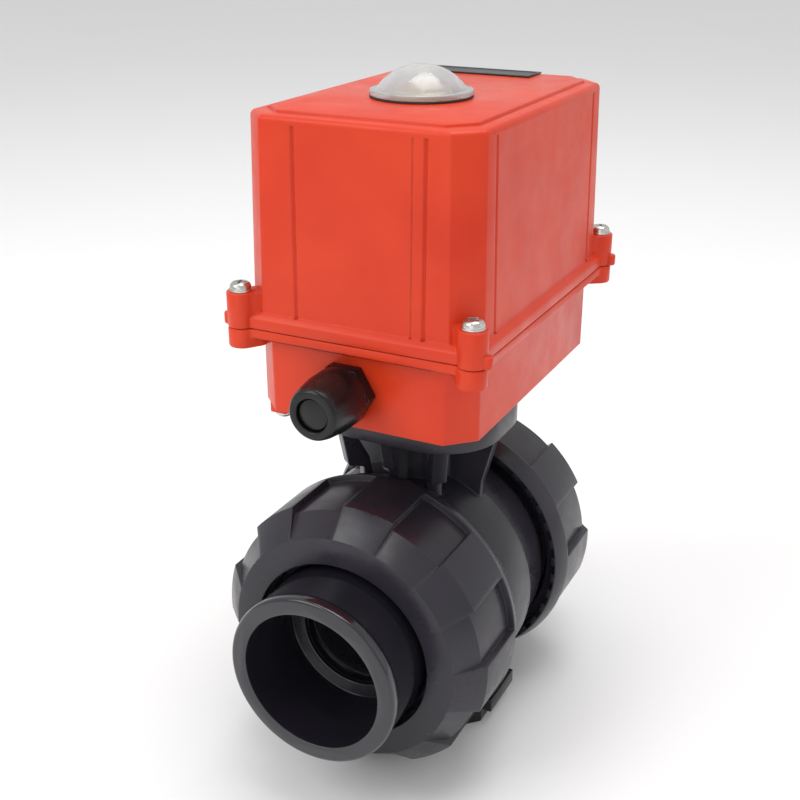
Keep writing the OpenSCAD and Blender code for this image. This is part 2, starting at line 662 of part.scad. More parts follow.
// ---- Shaft and gears ----
module output_shaft() color([0.6, 0.6, 0.62]) difference() {
    upright([[0, shaft_bottom], [shaft_r, shaft_bottom], [shaft_r, output_gear_z + output_gear_t + 0.5],
        [upper_shaft_r, output_gear_z + output_gear_t + 0.5], [upper_shaft_r, shaft_top], [4, shaft_top],
        [4, shaft_top + 7], [0, shaft_top + 7]]);
    translate([-square_side / 2 - 0.1, -square_side / 2 - 0.1, shaft_bottom - 1])
        cube([square_side + 0.2, square_side + 0.2, square_len + 1.5]);
}

module output_gear() color([0.55, 0.55, 0.58]) translate([0, 0, output_gear_z]) difference() {
    toothed(output_module, output_teeth, second_dir, output_gear_t);
    translate([0, 0, -1]) cylinder(r = shaft_r, h = output_gear_t + 2);
}

module shaft_bush() color([0.72, 0.55, 0.3])
    tube(bush_r, shaft_r + running_gap, flange_top + 1 + seal_h, boss_top);

module shaft_seal() color([0.1, 0.1, 0.1]) tube(bush_r, shaft_r + running_gap, flange_top + 0.5, flange_top + 0.5 + seal_h);

module plate_bush() color([0.72, 0.55, 0.3]) {
    bore = upper_shaft_r + running_gap;
    upright([[bore, plate_z - 1.5], [upper_shaft_r + 5, plate_z - 1.5], [upper_shaft_r + 5, plate_z],
        [upper_shaft_r + 3, plate_z], [upper_shaft_r + 3, plate_top + 2], [bore, plate_top + 2]]);
}

module loose_gear(wheel_teeth, wheel_phase, wheel_z, wheel_t, pinion_module, pinion_phase, pinion_z, pinion_t, at) {
    z0 = min(wheel_z, pinion_z);
    z1 = max(wheel_z + wheel_t, pinion_z + pinion_t);
    translate([at[0], at[1], 0]) difference() {
        union() {
            translate([0, 0, wheel_z]) toothed(fast_module, wheel_teeth, wheel_phase, wheel_t);
            translate([0, 0, pinion_z]) toothed(pinion_module, pinion_teeth, pinion_phase, pinion_t);
            translate([0, 0, z0]) cylinder(r = gear_pin_r + 1.5, h = z1 - z0);
        }
        translate([0, 0, z0 - 1]) cylinder(r = gear_pin_r + running_gap, h = z1 - z0 + 2);
    }
}

half_tooth = 180 / pinion_teeth;
module second_gear() color([0.62, 0.58, 0.45]) loose_gear(second_teeth, first_dir, low_gear_z, low_gear_t,
    output_module, second_dir + 180 + half_tooth, output_gear_z - 0.5, output_gear_t + 1, second_at);
module first_gear() color([0.62, 0.58, 0.45]) loose_gear(first_teeth, motor_dir, high_gear_z, high_gear_t,
    fast_module, first_dir + 180 + half_tooth, low_gear_z, low_gear_t + 0.5, first_at);

module gear_pins() color([0.7, 0.7, 0.72]) for (at = [second_at, first_at])
    translate([at[0], at[1], floor_top - 1]) cylinder(r = gear_pin_r, h = plate_top - floor_top + 1);

module gear_plate() color([0.7, 0.7, 0.72]) translate([0, 0, plate_z]) difference() {
    linear_extrude(plate_t)
        polygon(chamfered(plate_w, plate_back - plate_front, corner_flat, (plate_back + plate_front) / 2));
    translate([0, 0, -1]) cylinder(r = upper_shaft_r + 3, h = plate_t + 2);
    for (at = [second_at, first_at]) translate([at[0], at[1], -1]) cylinder(r = gear_pin_r, h = plate_t + 2);
    translate([pinion_at[0], pinion_at[1], -1]) cylinder(r = motor_shaft_r + 3, h = plate_t + 2);
    for (y = post_ys, side = [-1, 1]) translate([side * post_x, y, -1]) cylinder(r = 2.2, h = plate_t + 2);
}

module at_posts() {
    for (y = post_ys, side = [-1, 1]) translate([side * post_x, y, 0]) children();
}
module plate_posts() color([0.75, 0.75, 0.76]) at_posts() tube(4, 2.2, boss_top, plate_z);
module plate_screws() color([0.7, 0.7, 0.72]) at_posts() translate([0, 0, plate_top])
    socket_screw(4, 3, plate_top - boss_top + 4.5);

// ---- Motor, wiring and switches ----
module motor() color([0.55, 0.56, 0.58]) difference() {
    union() {
        translate([motor_at[0], motor_at[1], plate_top]) cylinder(r = motor_r, h = motor_h);
        translate([motor_at[0], motor_at[1], plate_top + motor_h - 1]) cylinder(r = 8, h = 4);
    }
    translate([pinion_at[0], pinion_at[1], plate_top - 1]) cylinder(r = motor_shaft_r + running_gap, h = 13);
}
module motor_shaft() color([0.7, 0.7, 0.72]) translate([pinion_at[0], pinion_at[1], high_gear_z - 1])
    cylinder(r = motor_shaft_r, h = plate_top + 10 - high_gear_z);
module motor_pinion() color([0.72, 0.55, 0.3]) translate([pinion_at[0], pinion_at[1], high_gear_z - 0.5]) difference() {
    toothed(fast_module, pinion_teeth, motor_dir + 180 + half_tooth, high_gear_t + 1);
    translate([0, 0, -1]) cylinder(r = motor_shaft_r, h = high_gear_t + 3);
}
module override_shaft() color([0.7, 0.7, 0.72]) translate([pinion_at[0], pinion_at[1], 0]) difference() {
    translate([0, 0, base_z + 3.3]) cylinder(r = 4, h = high_gear_z - 1 - base_z - 3.3);
    translate([0, 0, base_z + 2]) cylinder(r = 2.5, h = 8, $fn = 6);
}
module override_cap() color([0.08, 0.08, 0.08]) translate([pinion_at[0], pinion_at[1], 0]) union() {
    translate([0, 0, base_z - 1.6]) cylinder(r = 8, h = 1.5);
    translate([0, 0, base_z - 0.5]) cylinder(r = 5.9, h = 3.2);
}

capacitor_at = [-29, 57];
module capacitor() color([0.25, 0.27, 0.3]) translate([capacitor_at[0], capacitor_at[1], plate_top]) union() {
    cylinder(r = 11.5, h = 40);
    for (side = [-1, 1]) translate([side * 4 - 1.5, -0.5, 39]) cube([3, 1, 7]);
}

board_x = 4 - plate_w / 2;
board_z = plate_top + 5;
module circuit_board() color([0.1, 0.35, 0.2]) difference() {
    translate([board_x, -40, board_z]) cube([1.6, 78, 52]);
    for (y = [-36, 34], z = [board_z + 4, board_z + 48]) translate([board_x - 1, y, z]) rotate([0, 90, 0])
        cylinder(r = 1.6, h = 4);
}
module board_relays() color([0.15, 0.25, 0.5]) {
    for (y = [-30, -10, 10]) translate([board_x + 1.6, y, board_z + 26]) cube([9, 15, 19]);
    translate([board_x + 1.6, -34, board_z + 2]) cube([6, 60, 11]);
}
module terminal_block() color([0.2, 0.45, 0.25]) translate([-28, plate_front + 1, plate_top]) difference() {
    cube([56, 14, 12]);
    for (i = [0:6]) translate([4 + i * 8, 5, 8]) cylinder(r = 2.2, h = 5);
    for (i = [0:6]) translate([4 + i * 8, -1, 4]) rotate([-90, 0, 0]) cylinder(r = 2, h = 6);
}

module cam(z, lobe) {
    difference() {
        translate([0, 0, z]) union() {
            cylinder(r = cam_r - 2.5, h = cam_t);
            rotate([0, 0, lobe - 25]) rotate_extrude(angle = 50) square([cam_r, cam_t]);
        }
        translate([0, 0, z - 1]) cylinder(r = upper_shaft_r, h = cam_t + 2);
    }
}
module open_cam() color([0.8, 0.2, 0.15]) cam(open_cam_z, 0);
module closed_cam() color([0.15, 0.5, 0.25]) cam(closed_cam_z, 270);

module limit_switches() color([0.12, 0.12, 0.13]) for (z = [open_cam_z, closed_cam_z])
    translate([switch_x, -switch_l / 2, z - 0.2]) cube([switch_w, switch_l, switch_h]);

lever_pin_r = 0.7;
lever_pin_x = lever_x + lever_t / 2;
module lever(z) {
    difference() {
        union() {
            translate([lever_x, switch_pivot_y, z + 0.5]) cube([lever_t, switch_l - 1, cam_t - 1]);
            translate([lever_pin_x, switch_pivot_y, z + 0.5]) cylinder(r = 1.6, h = cam_t - 1);
        }
        translate([lever_pin_x, switch_pivot_y, z]) cylinder(r = lever_pin_r + running_gap, h = cam_t);
    }
}
module open_lever() color([0.75, 0.75, 0.76]) lever(open_cam_z);
module closed_lever() color([0.75, 0.75, 0.76]) lever(closed_cam_z);

module switch_bracket() color([0.7, 0.7, 0.72]) union() {
    translate([switch_x + switch_w, -switch_l / 2, plate_top]) cube([2, switch_l, closed_cam_z + cam_t - plate_top]);
    translate([switch_x - 2, -switch_l / 2, plate_top]) cube([switch_w + 3, switch_l, 2]);
    translate([switch_x, -switch_l / 2, plate_top + 1]) cube([switch_w, switch_l, open_cam_z - 0.2 - plate_top - 1]);
    // Arm and pin that both levers swing on
    translate([lever_pin_x - 1.5, switch_pivot_y - 1.5, open_cam_z - 4])
        cube([switch_x - lever_pin_x + 4, 4, 3]);
    translate([lever_pin_x, switch_pivot_y, open_cam_z - 2]) cylinder(r = lever_pin_r, h = 2 * cam_t + 5);
}

// ---- Cable gland ----
module gland_axis() {
    translate([gland_at[0], base_front, gland_at[1]]) rotate([90, 0, 0]) children();
}
gland_bore_r = 7;
module gland_body() color([0.06, 0.06, 0.07]) gland_axis() difference() {
    union() {
        cylinder(r = gland_flats / sqrt(3), h = gland_hex_t, $fn = 6);
        translate([0, 0, -case_wall - 8]) cylinder(r = gland_r, h = case_wall + 9);
        cylinder(r = gland_r - 1, h = gland_out - 13);
    }
    translate([0, 0, -20]) cylinder(r = gland_bore_r, h = gland_out + 20);
}
module gland_locknut() color([0.06, 0.06, 0.07]) gland_axis() translate([0, 0, -case_wall - 5]) difference() {
    cylinder(r = gland_flats / sqrt(3), h = 5, $fn = 6);
    translate([0, 0, -1]) cylinder(r = gland_r, h = 7);
}
module gland_seal() color([0.2, 0.2, 0.2]) gland_axis() translate([0, 0, gland_out - 12.8]) difference() {
    cylinder(r = gland_r - 1, h = 9);
    translate([0, 0, -1]) cylinder(r = 5, h = 12);
}
module gland_nut() color([0.06, 0.06, 0.07]) gland_axis() difference() {
    rotate_extrude() polygon([[gland_r - 0.9, gland_hex_t + 0.4], [gland_nut_r + 2.4, gland_hex_t + 0.4],
        [gland_nut_r + 2.4, gland_out - 13], [gland_nut_r + 1.2, gland_out - 4], [gland_nut_r + 0.4, gland_out - 1],
        [gland_nut_r - 0.6, gland_out], [gland_bore_r, gland_out], [gland_bore_r, gland_out - 3.6],
        [gland_r - 0.9, gland_out - 3.6]]);
}
module gland_plug() color([0.12, 0.12, 0.12]) gland_axis() union() {
    translate([0, 0, gland_out - 14]) cylinder(r = 5, h = 12);
    translate([0, 0, gland_out - 3.4]) cylinder(r = gland_bore_r - 0.5, h = 2);
}

module earth_screw() color([0.8, 0.8, 0.8]) translate([7 - body_w / 2, base_front + 12.5, base_z - 5])
    rotate([180, 0, 0]) pan_screw(4, 3.6, 2.4, 5);

valve_body();
foot_plate();
foot_screws();
foot_inserts();
ball();
front_seat();
rear_seat();
seat_carrier();
carrier_oring();
stem();
stem_orings();
face_orings();
front_end_connector();
rear_end_connector();
front_union_nut();
rear_union_nut();
flange_bolts();
flange_washers();
base_housing();
cover();
cover_gasket();
cover_screws();
cover_washers();
indicator_dome();
dome_gasket();
nameplate();
position_indicator();
output_shaft();
output_gear();
shaft_bush();
plate_bush();
shaft_seal();
gear_plate();
plate_posts();
plate_screws();
second_gear();
first_gear();
gear_pins();
motor();
motor_shaft();
motor_pinion();
override_shaft();
override_cap();
capacitor();
circuit_board();
board_relays();
terminal_block();
open_cam();
closed_cam();
limit_switches();
open_lever();
closed_lever();
switch_bracket();
gland_body();
gland_locknut();
gland_seal();
gland_nut();
gland_plug();
earth_screw();
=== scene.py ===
"""A motorised ball valve: a red electric actuator with its indicator dome on a dark double-union valve.

Sizes are in millimetres and are turned into metres where a mesh is made. The frame's CAD nodes
give the places.
"""

import json
import logging
import math
from contextlib import contextmanager
from dataclasses import dataclass, field
from enum import Enum
from typing import Callable, Iterator

import bmesh
import bpy
from mathutils import Matrix, Vector

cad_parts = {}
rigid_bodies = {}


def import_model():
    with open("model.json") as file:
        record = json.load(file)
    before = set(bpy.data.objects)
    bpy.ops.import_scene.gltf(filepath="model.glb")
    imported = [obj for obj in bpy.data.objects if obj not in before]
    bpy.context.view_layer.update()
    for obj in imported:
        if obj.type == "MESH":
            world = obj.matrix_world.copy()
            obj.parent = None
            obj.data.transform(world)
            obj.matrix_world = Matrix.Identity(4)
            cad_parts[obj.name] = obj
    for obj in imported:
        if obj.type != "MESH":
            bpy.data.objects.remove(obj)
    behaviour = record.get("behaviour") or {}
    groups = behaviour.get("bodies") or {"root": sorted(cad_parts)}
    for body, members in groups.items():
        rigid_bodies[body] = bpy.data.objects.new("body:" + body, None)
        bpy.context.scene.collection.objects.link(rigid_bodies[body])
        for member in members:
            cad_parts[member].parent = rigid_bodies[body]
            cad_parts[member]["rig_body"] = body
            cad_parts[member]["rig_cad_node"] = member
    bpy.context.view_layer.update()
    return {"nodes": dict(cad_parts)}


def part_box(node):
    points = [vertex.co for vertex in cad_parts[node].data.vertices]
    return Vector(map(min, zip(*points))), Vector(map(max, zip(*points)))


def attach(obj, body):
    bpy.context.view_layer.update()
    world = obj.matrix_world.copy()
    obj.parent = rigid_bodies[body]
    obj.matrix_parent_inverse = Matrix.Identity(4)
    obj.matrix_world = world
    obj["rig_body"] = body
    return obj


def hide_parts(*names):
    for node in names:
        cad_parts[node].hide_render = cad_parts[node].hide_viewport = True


MM = 0.001
log = logging.getLogger("valve")

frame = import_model()


class Side(Enum):
    """End of the pipe, as the sign of its Y."""

    FRONT = -1
    REAR = 1


class Axis(Enum):
    """Direction that a turned or brushed shape runs along."""

    X = 0
    Y = 1
    Z = 2


# ---------------------------------------------------------------- bench: mesh work by operators


@contextmanager
def editing(piece: bpy.types.Object) -> Iterator[bmesh.types.BMesh]:
    """Opens one piece, alone, in edit mode with nothing selected in it.

    Args:
        piece: The object to edit.

    Returns:
        The edit mesh, for selecting by place or normal.
    """
    only(piece)
    bpy.ops.object.mode_set(mode="EDIT")
    bpy.ops.mesh.select_all(action="DESELECT")
    yield bmesh.from_edit_mesh(piece.data)
    bpy.ops.object.mode_set(mode="OBJECT")


def only(piece: bpy.types.Object) -> None:
    """Selects this piece and nothing else, and makes it active."""
    bpy.ops.object.select_all(action="DESELECT")
    piece.select_set(True)
    bpy.context.view_layer.objects.active = piece


def fresh(name: str) -> bpy.types.Object:
    """Names the primitive just added and puts its place into its mesh.

    Args:
        name: The piece's name.

    Returns:
        The piece, with its object at the origin.
    """
    piece = bpy.context.active_object
    piece.name = name
    piece.data.name = name
    only(piece)
    bpy.ops.object.transform_apply(location=True, rotation=True, scale=True)
    return piece


def pick(mesh: bmesh.types.BMesh, kind: str, test: Callable[[Vector, Vector], bool]) -> int:
    """Selects what passes a test on its middle and its normal, in millimetres.

    Args:
        mesh: The edit mesh.
        kind: "faces", "edges" or "verts".
        test: Takes the middle and the normal, and says whether to select.

    Returns:
        How many were selected.
    """
    found = 0
    for part in getattr(mesh, kind):
        if kind == "faces":
            middle, normal = part.calc_center_median(), part.normal
        elif kind == "edges":
            middle = (part.verts[0].co + part.verts[1].co) / 2
            normal = (part.verts[1].co - part.verts[0].co).normalized()
        else:
            middle, normal = part.co, part.normal
        if test(middle / MM, normal):
            part.select_set(True)
            found += 1
    mesh.select_flush_mode()
    return found


def select_mode(kind: str) -> None:
    """Sets the edit mode's selection to VERT, EDGE or FACE."""
    bpy.ops.mesh.select_mode(type=kind)


def tidy_shell(piece: bpy.types.Object, gap: float = 0.002) -> None:
    """Merges doubles and turns the faces outwards.

    Args:
        piece: The closed shape to tidy.
        gap: Largest distance between points that are one, in millimetres.
    """
    with editing(piece):
        bpy.ops.mesh.select_all(action="SELECT")
        bpy.ops.mesh.remove_doubles(threshold=gap * MM)
        bpy.ops.mesh.select_all(action="SELECT")
        bpy.ops.mesh.normals_make_consistent(inside=False)


def soften(piece: bpy.types.Object, width: float, segments: int = 2, angle: float = 35,
           clamp: bool = True) -> None:
    """Rounds a piece's sharp edges with an applied bevel.

    Args:
        piece: The piece to round.
        width: Width of the rounding, in millimetres.
        segments: Facets across it.
        angle: Edges sharper than this are rounded, in degrees.
        clamp: Whether the rounding stops where edges would meet.
    """
    bevel = piece.modifiers.new("rounding", "BEVEL")
    bevel.limit_method = "ANGLE"
    bevel.angle_limit = math.radians(angle)
    bevel.width = width * MM
    bevel.segments = segments
    bevel.use_clamp_overlap = clamp
    bevel.harden_normals = False
    only(piece)
    bpy.ops.object.modifier_apply(modifier=bevel.name)


def combine(piece: bpy.types.Object, tool: bpy.types.Object, operation: str) -> None:
    """Joins a tool to a piece or cuts it out, and removes the tool.

    Args:
        piece: The piece that is kept.
        tool: The shape that is added or cut.
        operation: "UNION", "DIFFERENCE" or "INTERSECT".
    """
    step = piece.modifiers.new("combine", "BOOLEAN")
    step.operation = operation
    step.solver = "EXACT"
    step.object = tool
    only(piece)
    bpy.ops.object.modifier_apply(modifier=step.name)
    bpy.data.objects.remove(tool)


def smooth(piece: bpy.types.Object, angle: float = 32) -> None:
    """Shades a piece smooth, except across edges sharper than the angle."""
    only(piece)
    bpy.ops.object.shade_smooth_by_angle(angle=math.radians(angle))


def cylinder(name: str, radius: float, low: float, high: float, at: tuple[float, float] = (0, 0),
             steps: int = 64) -> bpy.types.Object:
    """An upright cylinder.

    Args:
        name: The piece's name.
        radius: Radius, in millimetres.
        low: Height of its foot.
        high: Height of its top.
        at: Its axis, as (x, y).
        steps: Sides round it.

    Returns:
        The cylinder.
    """
    middle = (at[0] * MM, at[1] * MM, (low + high) / 2 * MM)
    bpy.ops.mesh.primitive_cylinder_add(vertices=steps, radius=radius * MM, depth=(high - low) * MM,
                                        location=middle)
    return fresh(name)


def block(name: str, low: tuple[float, float, float], high: tuple[float, float, float]) -> bpy.types.Object:
    """A box between two corners, in millimetres.

    Args:
        name: The piece's name.
        low: Lowest corner.
        high: Highest corner.

    Returns:
        The box.
    """
    a, b = Vector(low) * MM, Vector(high) * MM
    bpy.ops.mesh.primitive_cube_add(size=1, location=(a + b) / 2, scale=b - a)
    return fresh(name)


def raised(name: str, width: float, length: float, corner: float, middle_y: float,
           levels: list[tuple[float, float]]) -> bpy.types.Object:
    """A flat-cornered outline raised level by level, each drawn in by its inset.

    Args:
        name: The piece's name.
        width: Size along X with no inset, in millimetres.
        length: Size along Y with no inset.
        corner: How much of each corner is cut off.
        middle_y: Y of its middle.
        levels: Height and inset of each level, from the lowest up.

    Returns:
        A closed solid.
    """
    z, inset = levels[0]
    bpy.ops.mesh.primitive_plane_add(size=1, location=(0, middle_y * MM, z * MM))
    piece = fresh(name)
    wide, long = width - 2 * inset, length - 2 * inset
    with editing(piece):
        bpy.ops.mesh.select_all(action="SELECT")
        hub = (0, middle_y * MM, z * MM)
        bpy.ops.transform.resize(value=(wide * MM, long * MM, 1), center_override=hub)
        bpy.ops.mesh.bevel(offset=corner * MM, segments=1, affect="VERTICES", clamp_overlap=False)
        for next_z, next_inset in levels[1:]:
            next_wide, next_long = width - 2 * next_inset, length - 2 * next_inset
            rise = {"value": (0, 0, (next_z - z) * MM)}
            bpy.ops.mesh.extrude_region_move(TRANSFORM_OT_translate=rise)
            hub = (0, middle_y * MM, next_z * MM)
            bpy.ops.transform.resize(value=(next_wide / wide, next_long / long, 1), center_override=hub)
            z, wide, long = next_z, next_wide, next_long
    tidy_shell(piece)
    return piece


def turned(name: str, profile: list[tuple[float, float]], steps: int = 96,
           closed: bool = True) -> bpy.types.Object:
    """A ring raised along Z, drawn from radius to radius as on a lathe.

    Args:
        name: The piece's name.
        profile: Radius and height of each ring, in order round the section.
        steps: Facets round it.
        closed: Whether the last ring meets the first, as on a tube; otherwise both ends are capped.

    Returns:
        A closed solid on the Z axis.
    """
    radius, z = profile[0]
    fill = "NOTHING" if closed else "NGON"
    bpy.ops.mesh.primitive_circle_add(vertices=steps, radius=radius * MM, fill_type=fill,
                                      location=(0, 0, z * MM))
    piece = fresh(name)
    rings = profile[1:] + (profile[:1] if closed else [])
    with editing(piece):
        select_mode("EDGE" if closed else "FACE")
        bpy.ops.mesh.select_all(action="SELECT")
        for next_radius, next_z in rings:
            bpy.ops.mesh.extrude_region_move(TRANSFORM_OT_translate={"value": (0, 0, (next_z - z) * MM)})
            share = next_radius / radius
            bpy.ops.transform.resize(value=(share, share, 1), center_override=(0, 0, next_z * MM))
            radius, z = next_radius, next_z
    tidy_shell(piece)
    return piece


def laid(piece: bpy.types.Object, side: Side, height: float) -> bpy.types.Object:
    """Turns a lathe shape's Z axis onto the pipe's axis.

    Args:
        piece: The shape, made on Z.
        side: The end of the pipe that its Z points to.
        height: Height of the pipe's axis, in millimetres.

    Returns:
        The same piece.
    """
    turn = Matrix.Rotation(math.radians(-90 * side.value), 4, "X")
    piece.data.transform(Matrix.Translation((0, 0, height * MM)) @ turn)
    return piece


def merged_copy(node: str) -> bpy.types.Object:
    """A copy of a CAD node as one closed mesh, with flat faces whole again.

    Args:
        node: The CAD node's name.

    Returns:
        The copy, which doesn't stand for the node yet.
    """
    source = frame["nodes"][node]
    piece = bpy.data.objects.new(node + "_finished", source.data.copy())
    bpy.context.scene.collection.objects.link(piece)
    only(piece)
    if piece.data.has_custom_normals:
        bpy.ops.mesh.customdata_custom_splitnormals_clear()
    with editing(piece):
        bpy.ops.mesh.select_all(action="SELECT")
        bpy.ops.mesh.remove_doubles(threshold=0.002 * MM)
        bpy.ops.mesh.dissolve_limited(angle_limit=math.radians(1))
    return piece


# ---------------------------------------------------------------- finishes


class Graph:
    """A material's node tree, with short calls for nodes and links."""

    def __init__(self, name: str) -> None:
        """Makes an empty material with an output and the object's own coordinates."""
        self.material = bpy.data.materials.new(name)
        self.material.use_nodes = True
        self.tree = self.material.node_tree
        self.tree.nodes.clear()
        self.output = self.add("ShaderNodeOutputMaterial")
        self.place = self.add("ShaderNodeTexCoord").outputs["Object"]

    def add(self, kind: str, **inputs: object) -> bpy.types.Node:
        """Adds a node and sets or links its inputs.

        Args:
            kind: The node's type.
            **inputs: Input names with _ for spaces; a socket is linked, anything else is set.

        Returns:
            The node.
        """
        node = self.tree.nodes.new(kind)
        for key, value in inputs.items():
            socket = node.inputs[key.replace("_", " ")]
            if isinstance(value, bpy.types.NodeSocket):
                self.tree.links.new(value, socket)
            else:
                socket.default_value = value
        return node

    def noise(self, size: float, detail: float = 2, rough: float = 0.5, stretch: tuple = (1, 1, 1),
              shift: float = 0) -> bpy.types.NodeSocket:
        """Soft random values on the object's own coordinates.

        Args:
            size: Size of a patch, in millimetres.
            detail: Octaves.
            rough: Weight of the finer octaves.
            stretch: Scale along each axis; a small one draws the pattern out.
            shift: Moves the pattern, in millimetres.

        Returns:
            The value, from 0 to 1.
        """
        lay = self.add("ShaderNodeMapping", Vector=self.place, Scale=stretch, Location=(shift * MM,) * 3)
        made = self.add("ShaderNodeTexNoise", Vector=lay.outputs[0], Scale=1 / (size * MM), Detail=detail,
                        Roughness=rough)
        return made.outputs["Fac"]

    def ramp(self, value: bpy.types.NodeSocket, low: float, high: float, to_low: float = 0,
             to_high: float = 1) -> bpy.types.NodeSocket:
        """Stretches a value between two limits, and clamps it.

        Args:
            value: What is stretched.
            low: The value that becomes to_low.
            high: The value that becomes to_high.
            to_low: Lowest result.
            to_high: Highest result.

        Returns:
            The new value.
        """
        node = self.add("ShaderNodeMapRange", Value=value, From_Min=low, From_Max=high, To_Min=to_low,
                        To_Max=to_high)
        return node.outputs["Result"]

    def blend(self, share: bpy.types.NodeSocket, first: object, second: object) -> bpy.types.NodeSocket:
        """Mixes two colours.

        Args:
            share: How much of the second shows.
            first: A colour or a socket.
            second: A colour or a socket.

        Returns:
            The mixed colour.
        """
        node = self.tree.nodes.new("ShaderNodeMix")
        node.data_type = "RGBA"
        self.tree.links.new(share, node.inputs["Factor"])
        for place, value in ((6, first), (7, second)):
            if isinstance(value, bpy.types.NodeSocket):
                self.tree.links.new(value, node.inputs[place])
            else:
                node.inputs[place].default_value = (*value[:3], 1)
        return node.outputs[2]

    def math(self, operation: str, first: object, second: object = 0.0) -> bpy.types.NodeSocket:
        """Works out one sum.

        Args:
            operation: The Math node's operation.
            first: A number or a socket.
            second: A number or a socket.

        Returns:
            The result.
        """
        node = self.tree.nodes.new("ShaderNodeMath")
        node.operation = operation
        for place, value in enumerate((first, second)):
            if isinstance(value, bpy.types.NodeSocket):
                self.tree.links.new(value, node.inputs[place])
            else:
                node.inputs[place].default_value = value
        return node.outputs[0]

    def rounded_edges(self, radius: float) -> tuple[bpy.types.NodeSocket, bpy.types.NodeSocket]:
        """The normal with edges rounded, and where those edges are.

        Args:
            radius: Radius of the rounding, in millimetres.

        Returns:
            The rounded normal, and a value that is 1 along an edge.
        """
        bevel = self.tree.nodes.new("ShaderNodeBevel")
        bevel.samples = 4
        bevel.inputs["Radius"].default_value = radius * MM
        normal = bevel.outputs["Normal"]
        flat = self.add("ShaderNodeNewGeometry").outputs["Normal"]
        dot = self.tree.nodes.new("ShaderNodeVectorMath")
        dot.operation = "DOT_PRODUCT"
        self.tree.links.new(normal, dot.inputs[0])
        self.tree.links.new(flat, dot.inputs[1])
        return normal, self.ramp(dot.outputs["Value"], 0.985, 0.86)

    def bump(self, height: bpy.types.NodeSocket, depth: float, normal: bpy.types.NodeSocket | None = None,
             strength: float = 1.0) -> bpy.types.NodeSocket:
        """Raises the surface by a value.

        Args:
            height: The value.
            depth: Height of a whole step of it, in millimetres.
            normal: The normal to start from.
            strength: Share of the effect.

        Returns:
            The new normal.
        """
        node = self.add("ShaderNodeBump", Height=height, Distance=depth * MM, Strength=strength)
        if normal is not None:
            self.tree.links.new(normal, node.inputs["Normal"])
        return node.outputs["Normal"]

    def finish(self, **inputs: object) -> bpy.types.Material:
        """Adds the shader that shows.

        Args:
            **inputs: The Principled shader's inputs.

        Returns:
            The finished material.
        """
        shader = self.add("ShaderNodeBsdfPrincipled", **inputs)
        self.tree.links.new(shader.outputs["BSDF"], self.output.inputs["Surface"])
        return self.material


@dataclass(frozen=True)
class PowderCoat:
    """Sprayed coat on a casting, with a fine peel, darker specks and a painted highlight along its edges."""

    name: str
    colour: tuple[float, float, float]
    deep: tuple[float, float, float]
    # edge is the colour of a painted highlight along the edges.
    edge: tuple[float, float, float]
    roughness: float = 0.36
    peel: float = 1.1
    peel_depth: float = 0.03

    def material(self) -> bpy.types.Material:
        """Builds the coat.

        Returns:
            The material.
        """
        g = Graph(self.name)
        normal, edges = g.rounded_edges(0.9)
        cloud = g.ramp(g.noise(46, 3, 0.55), 0.3, 0.72)
        colour = g.blend(cloud, self.colour, self.deep)
        speck = g.ramp(g.noise(2.4, 3, 0.7, shift=31), 0.68, 0.76, 0, 0.35)
        colour = g.blend(speck, colour, self.deep)
        # Lighter colour along the edges, patchy with noise: a painted edge highlight.
        paint_edge_highlight = g.math("MULTIPLY", edges, g.ramp(g.noise(7, 3, 0.6, shift=11), 0.3, 0.65, 0.25, 0.8))
        colour = g.blend(paint_edge_highlight, colour, self.edge)
        gloss = g.ramp(g.noise(18, 4, 0.6, shift=5), 0.3, 0.7, self.roughness - 0.07, self.roughness + 0.09)
        peel = g.noise(self.peel, 2, 0.5, shift=3)
        wave = g.noise(14, 1, 0.4, shift=17)
        normal = g.bump(peel, self.peel_depth, normal, 0.5)
        normal = g.bump(wave, 0.12, normal, 0.35)
        return g.finish(Base_Color=colour, Roughness=gloss, Normal=normal, Coat_Weight=0.08,
                        Coat_Roughness=0.2, Specular_IOR_Level=0.24)


@dataclass(frozen=True)
class Moulded:
    """Moulded plastic, with a tint that drifts, a grain, specks of dust and a painted highlight along its
    edges.
    """

    name: str
    colour: tuple[float, float, float]
    tint: tuple[float, float, float]
    roughness: float = 0.4
    patch: float = 9
    grain: float = 0.4
    grain_depth: float = 0.006
    wave_depth: float = 0.03
    edge_radius: float = 0.3
    # edge is the colour of the dust specks, and of a painted highlight along the edges.
    edge: tuple[float, float, float] = (0.2, 0.2, 0.22)
    edge_share: float = 0.4
    coat: float = 0.0
    subsurface: float = 0.0
    shine: float = 0.5

    def material(self) -> bpy.types.Material:
        """Builds the plastic.

        Returns:
            The material.
        """
        g = Graph(self.name)
        normal, edges = g.rounded_edges(self.edge_radius)
        colour = g.blend(g.ramp(g.noise(self.patch, 3, 0.5), 0.3, 0.7), self.colour, self.tint)
        dust = g.ramp(g.noise(3.1, 4, 0.75, shift=23), 0.66, 0.8, 0, 0.16)
        colour = g.blend(dust, colour, self.edge)
        # Lighter colour along the edges, patchy with noise: a painted edge highlight.
        scuffs = g.ramp(g.noise(5, 3, 0.6, shift=9), 0.35, 0.65, 0.1, self.edge_share)
        plastic_edge_highlight = g.math("MULTIPLY", edges, scuffs)
        colour = g.blend(plastic_edge_highlight, colour, self.edge)
        gloss = g.ramp(g.noise(12, 4, 0.65, shift=7), 0.3, 0.7, self.roughness - 0.08, self.roughness + 0.08)
        normal = g.bump(g.noise(self.grain, 2, 0.5, shift=2), self.grain_depth, normal, 0.5)
        normal = g.bump(g.noise(11, 1.5, 0.4, shift=13), self.wave_depth, normal, 0.5)
        return g.finish(Base_Color=colour, Roughness=gloss, Normal=normal, Coat_Weight=self.coat,
                        Coat_Roughness=0.12, Specular_IOR_Level=self.shine,
                        Subsurface_Weight=self.subsurface, Subsurface_Scale=0.002)


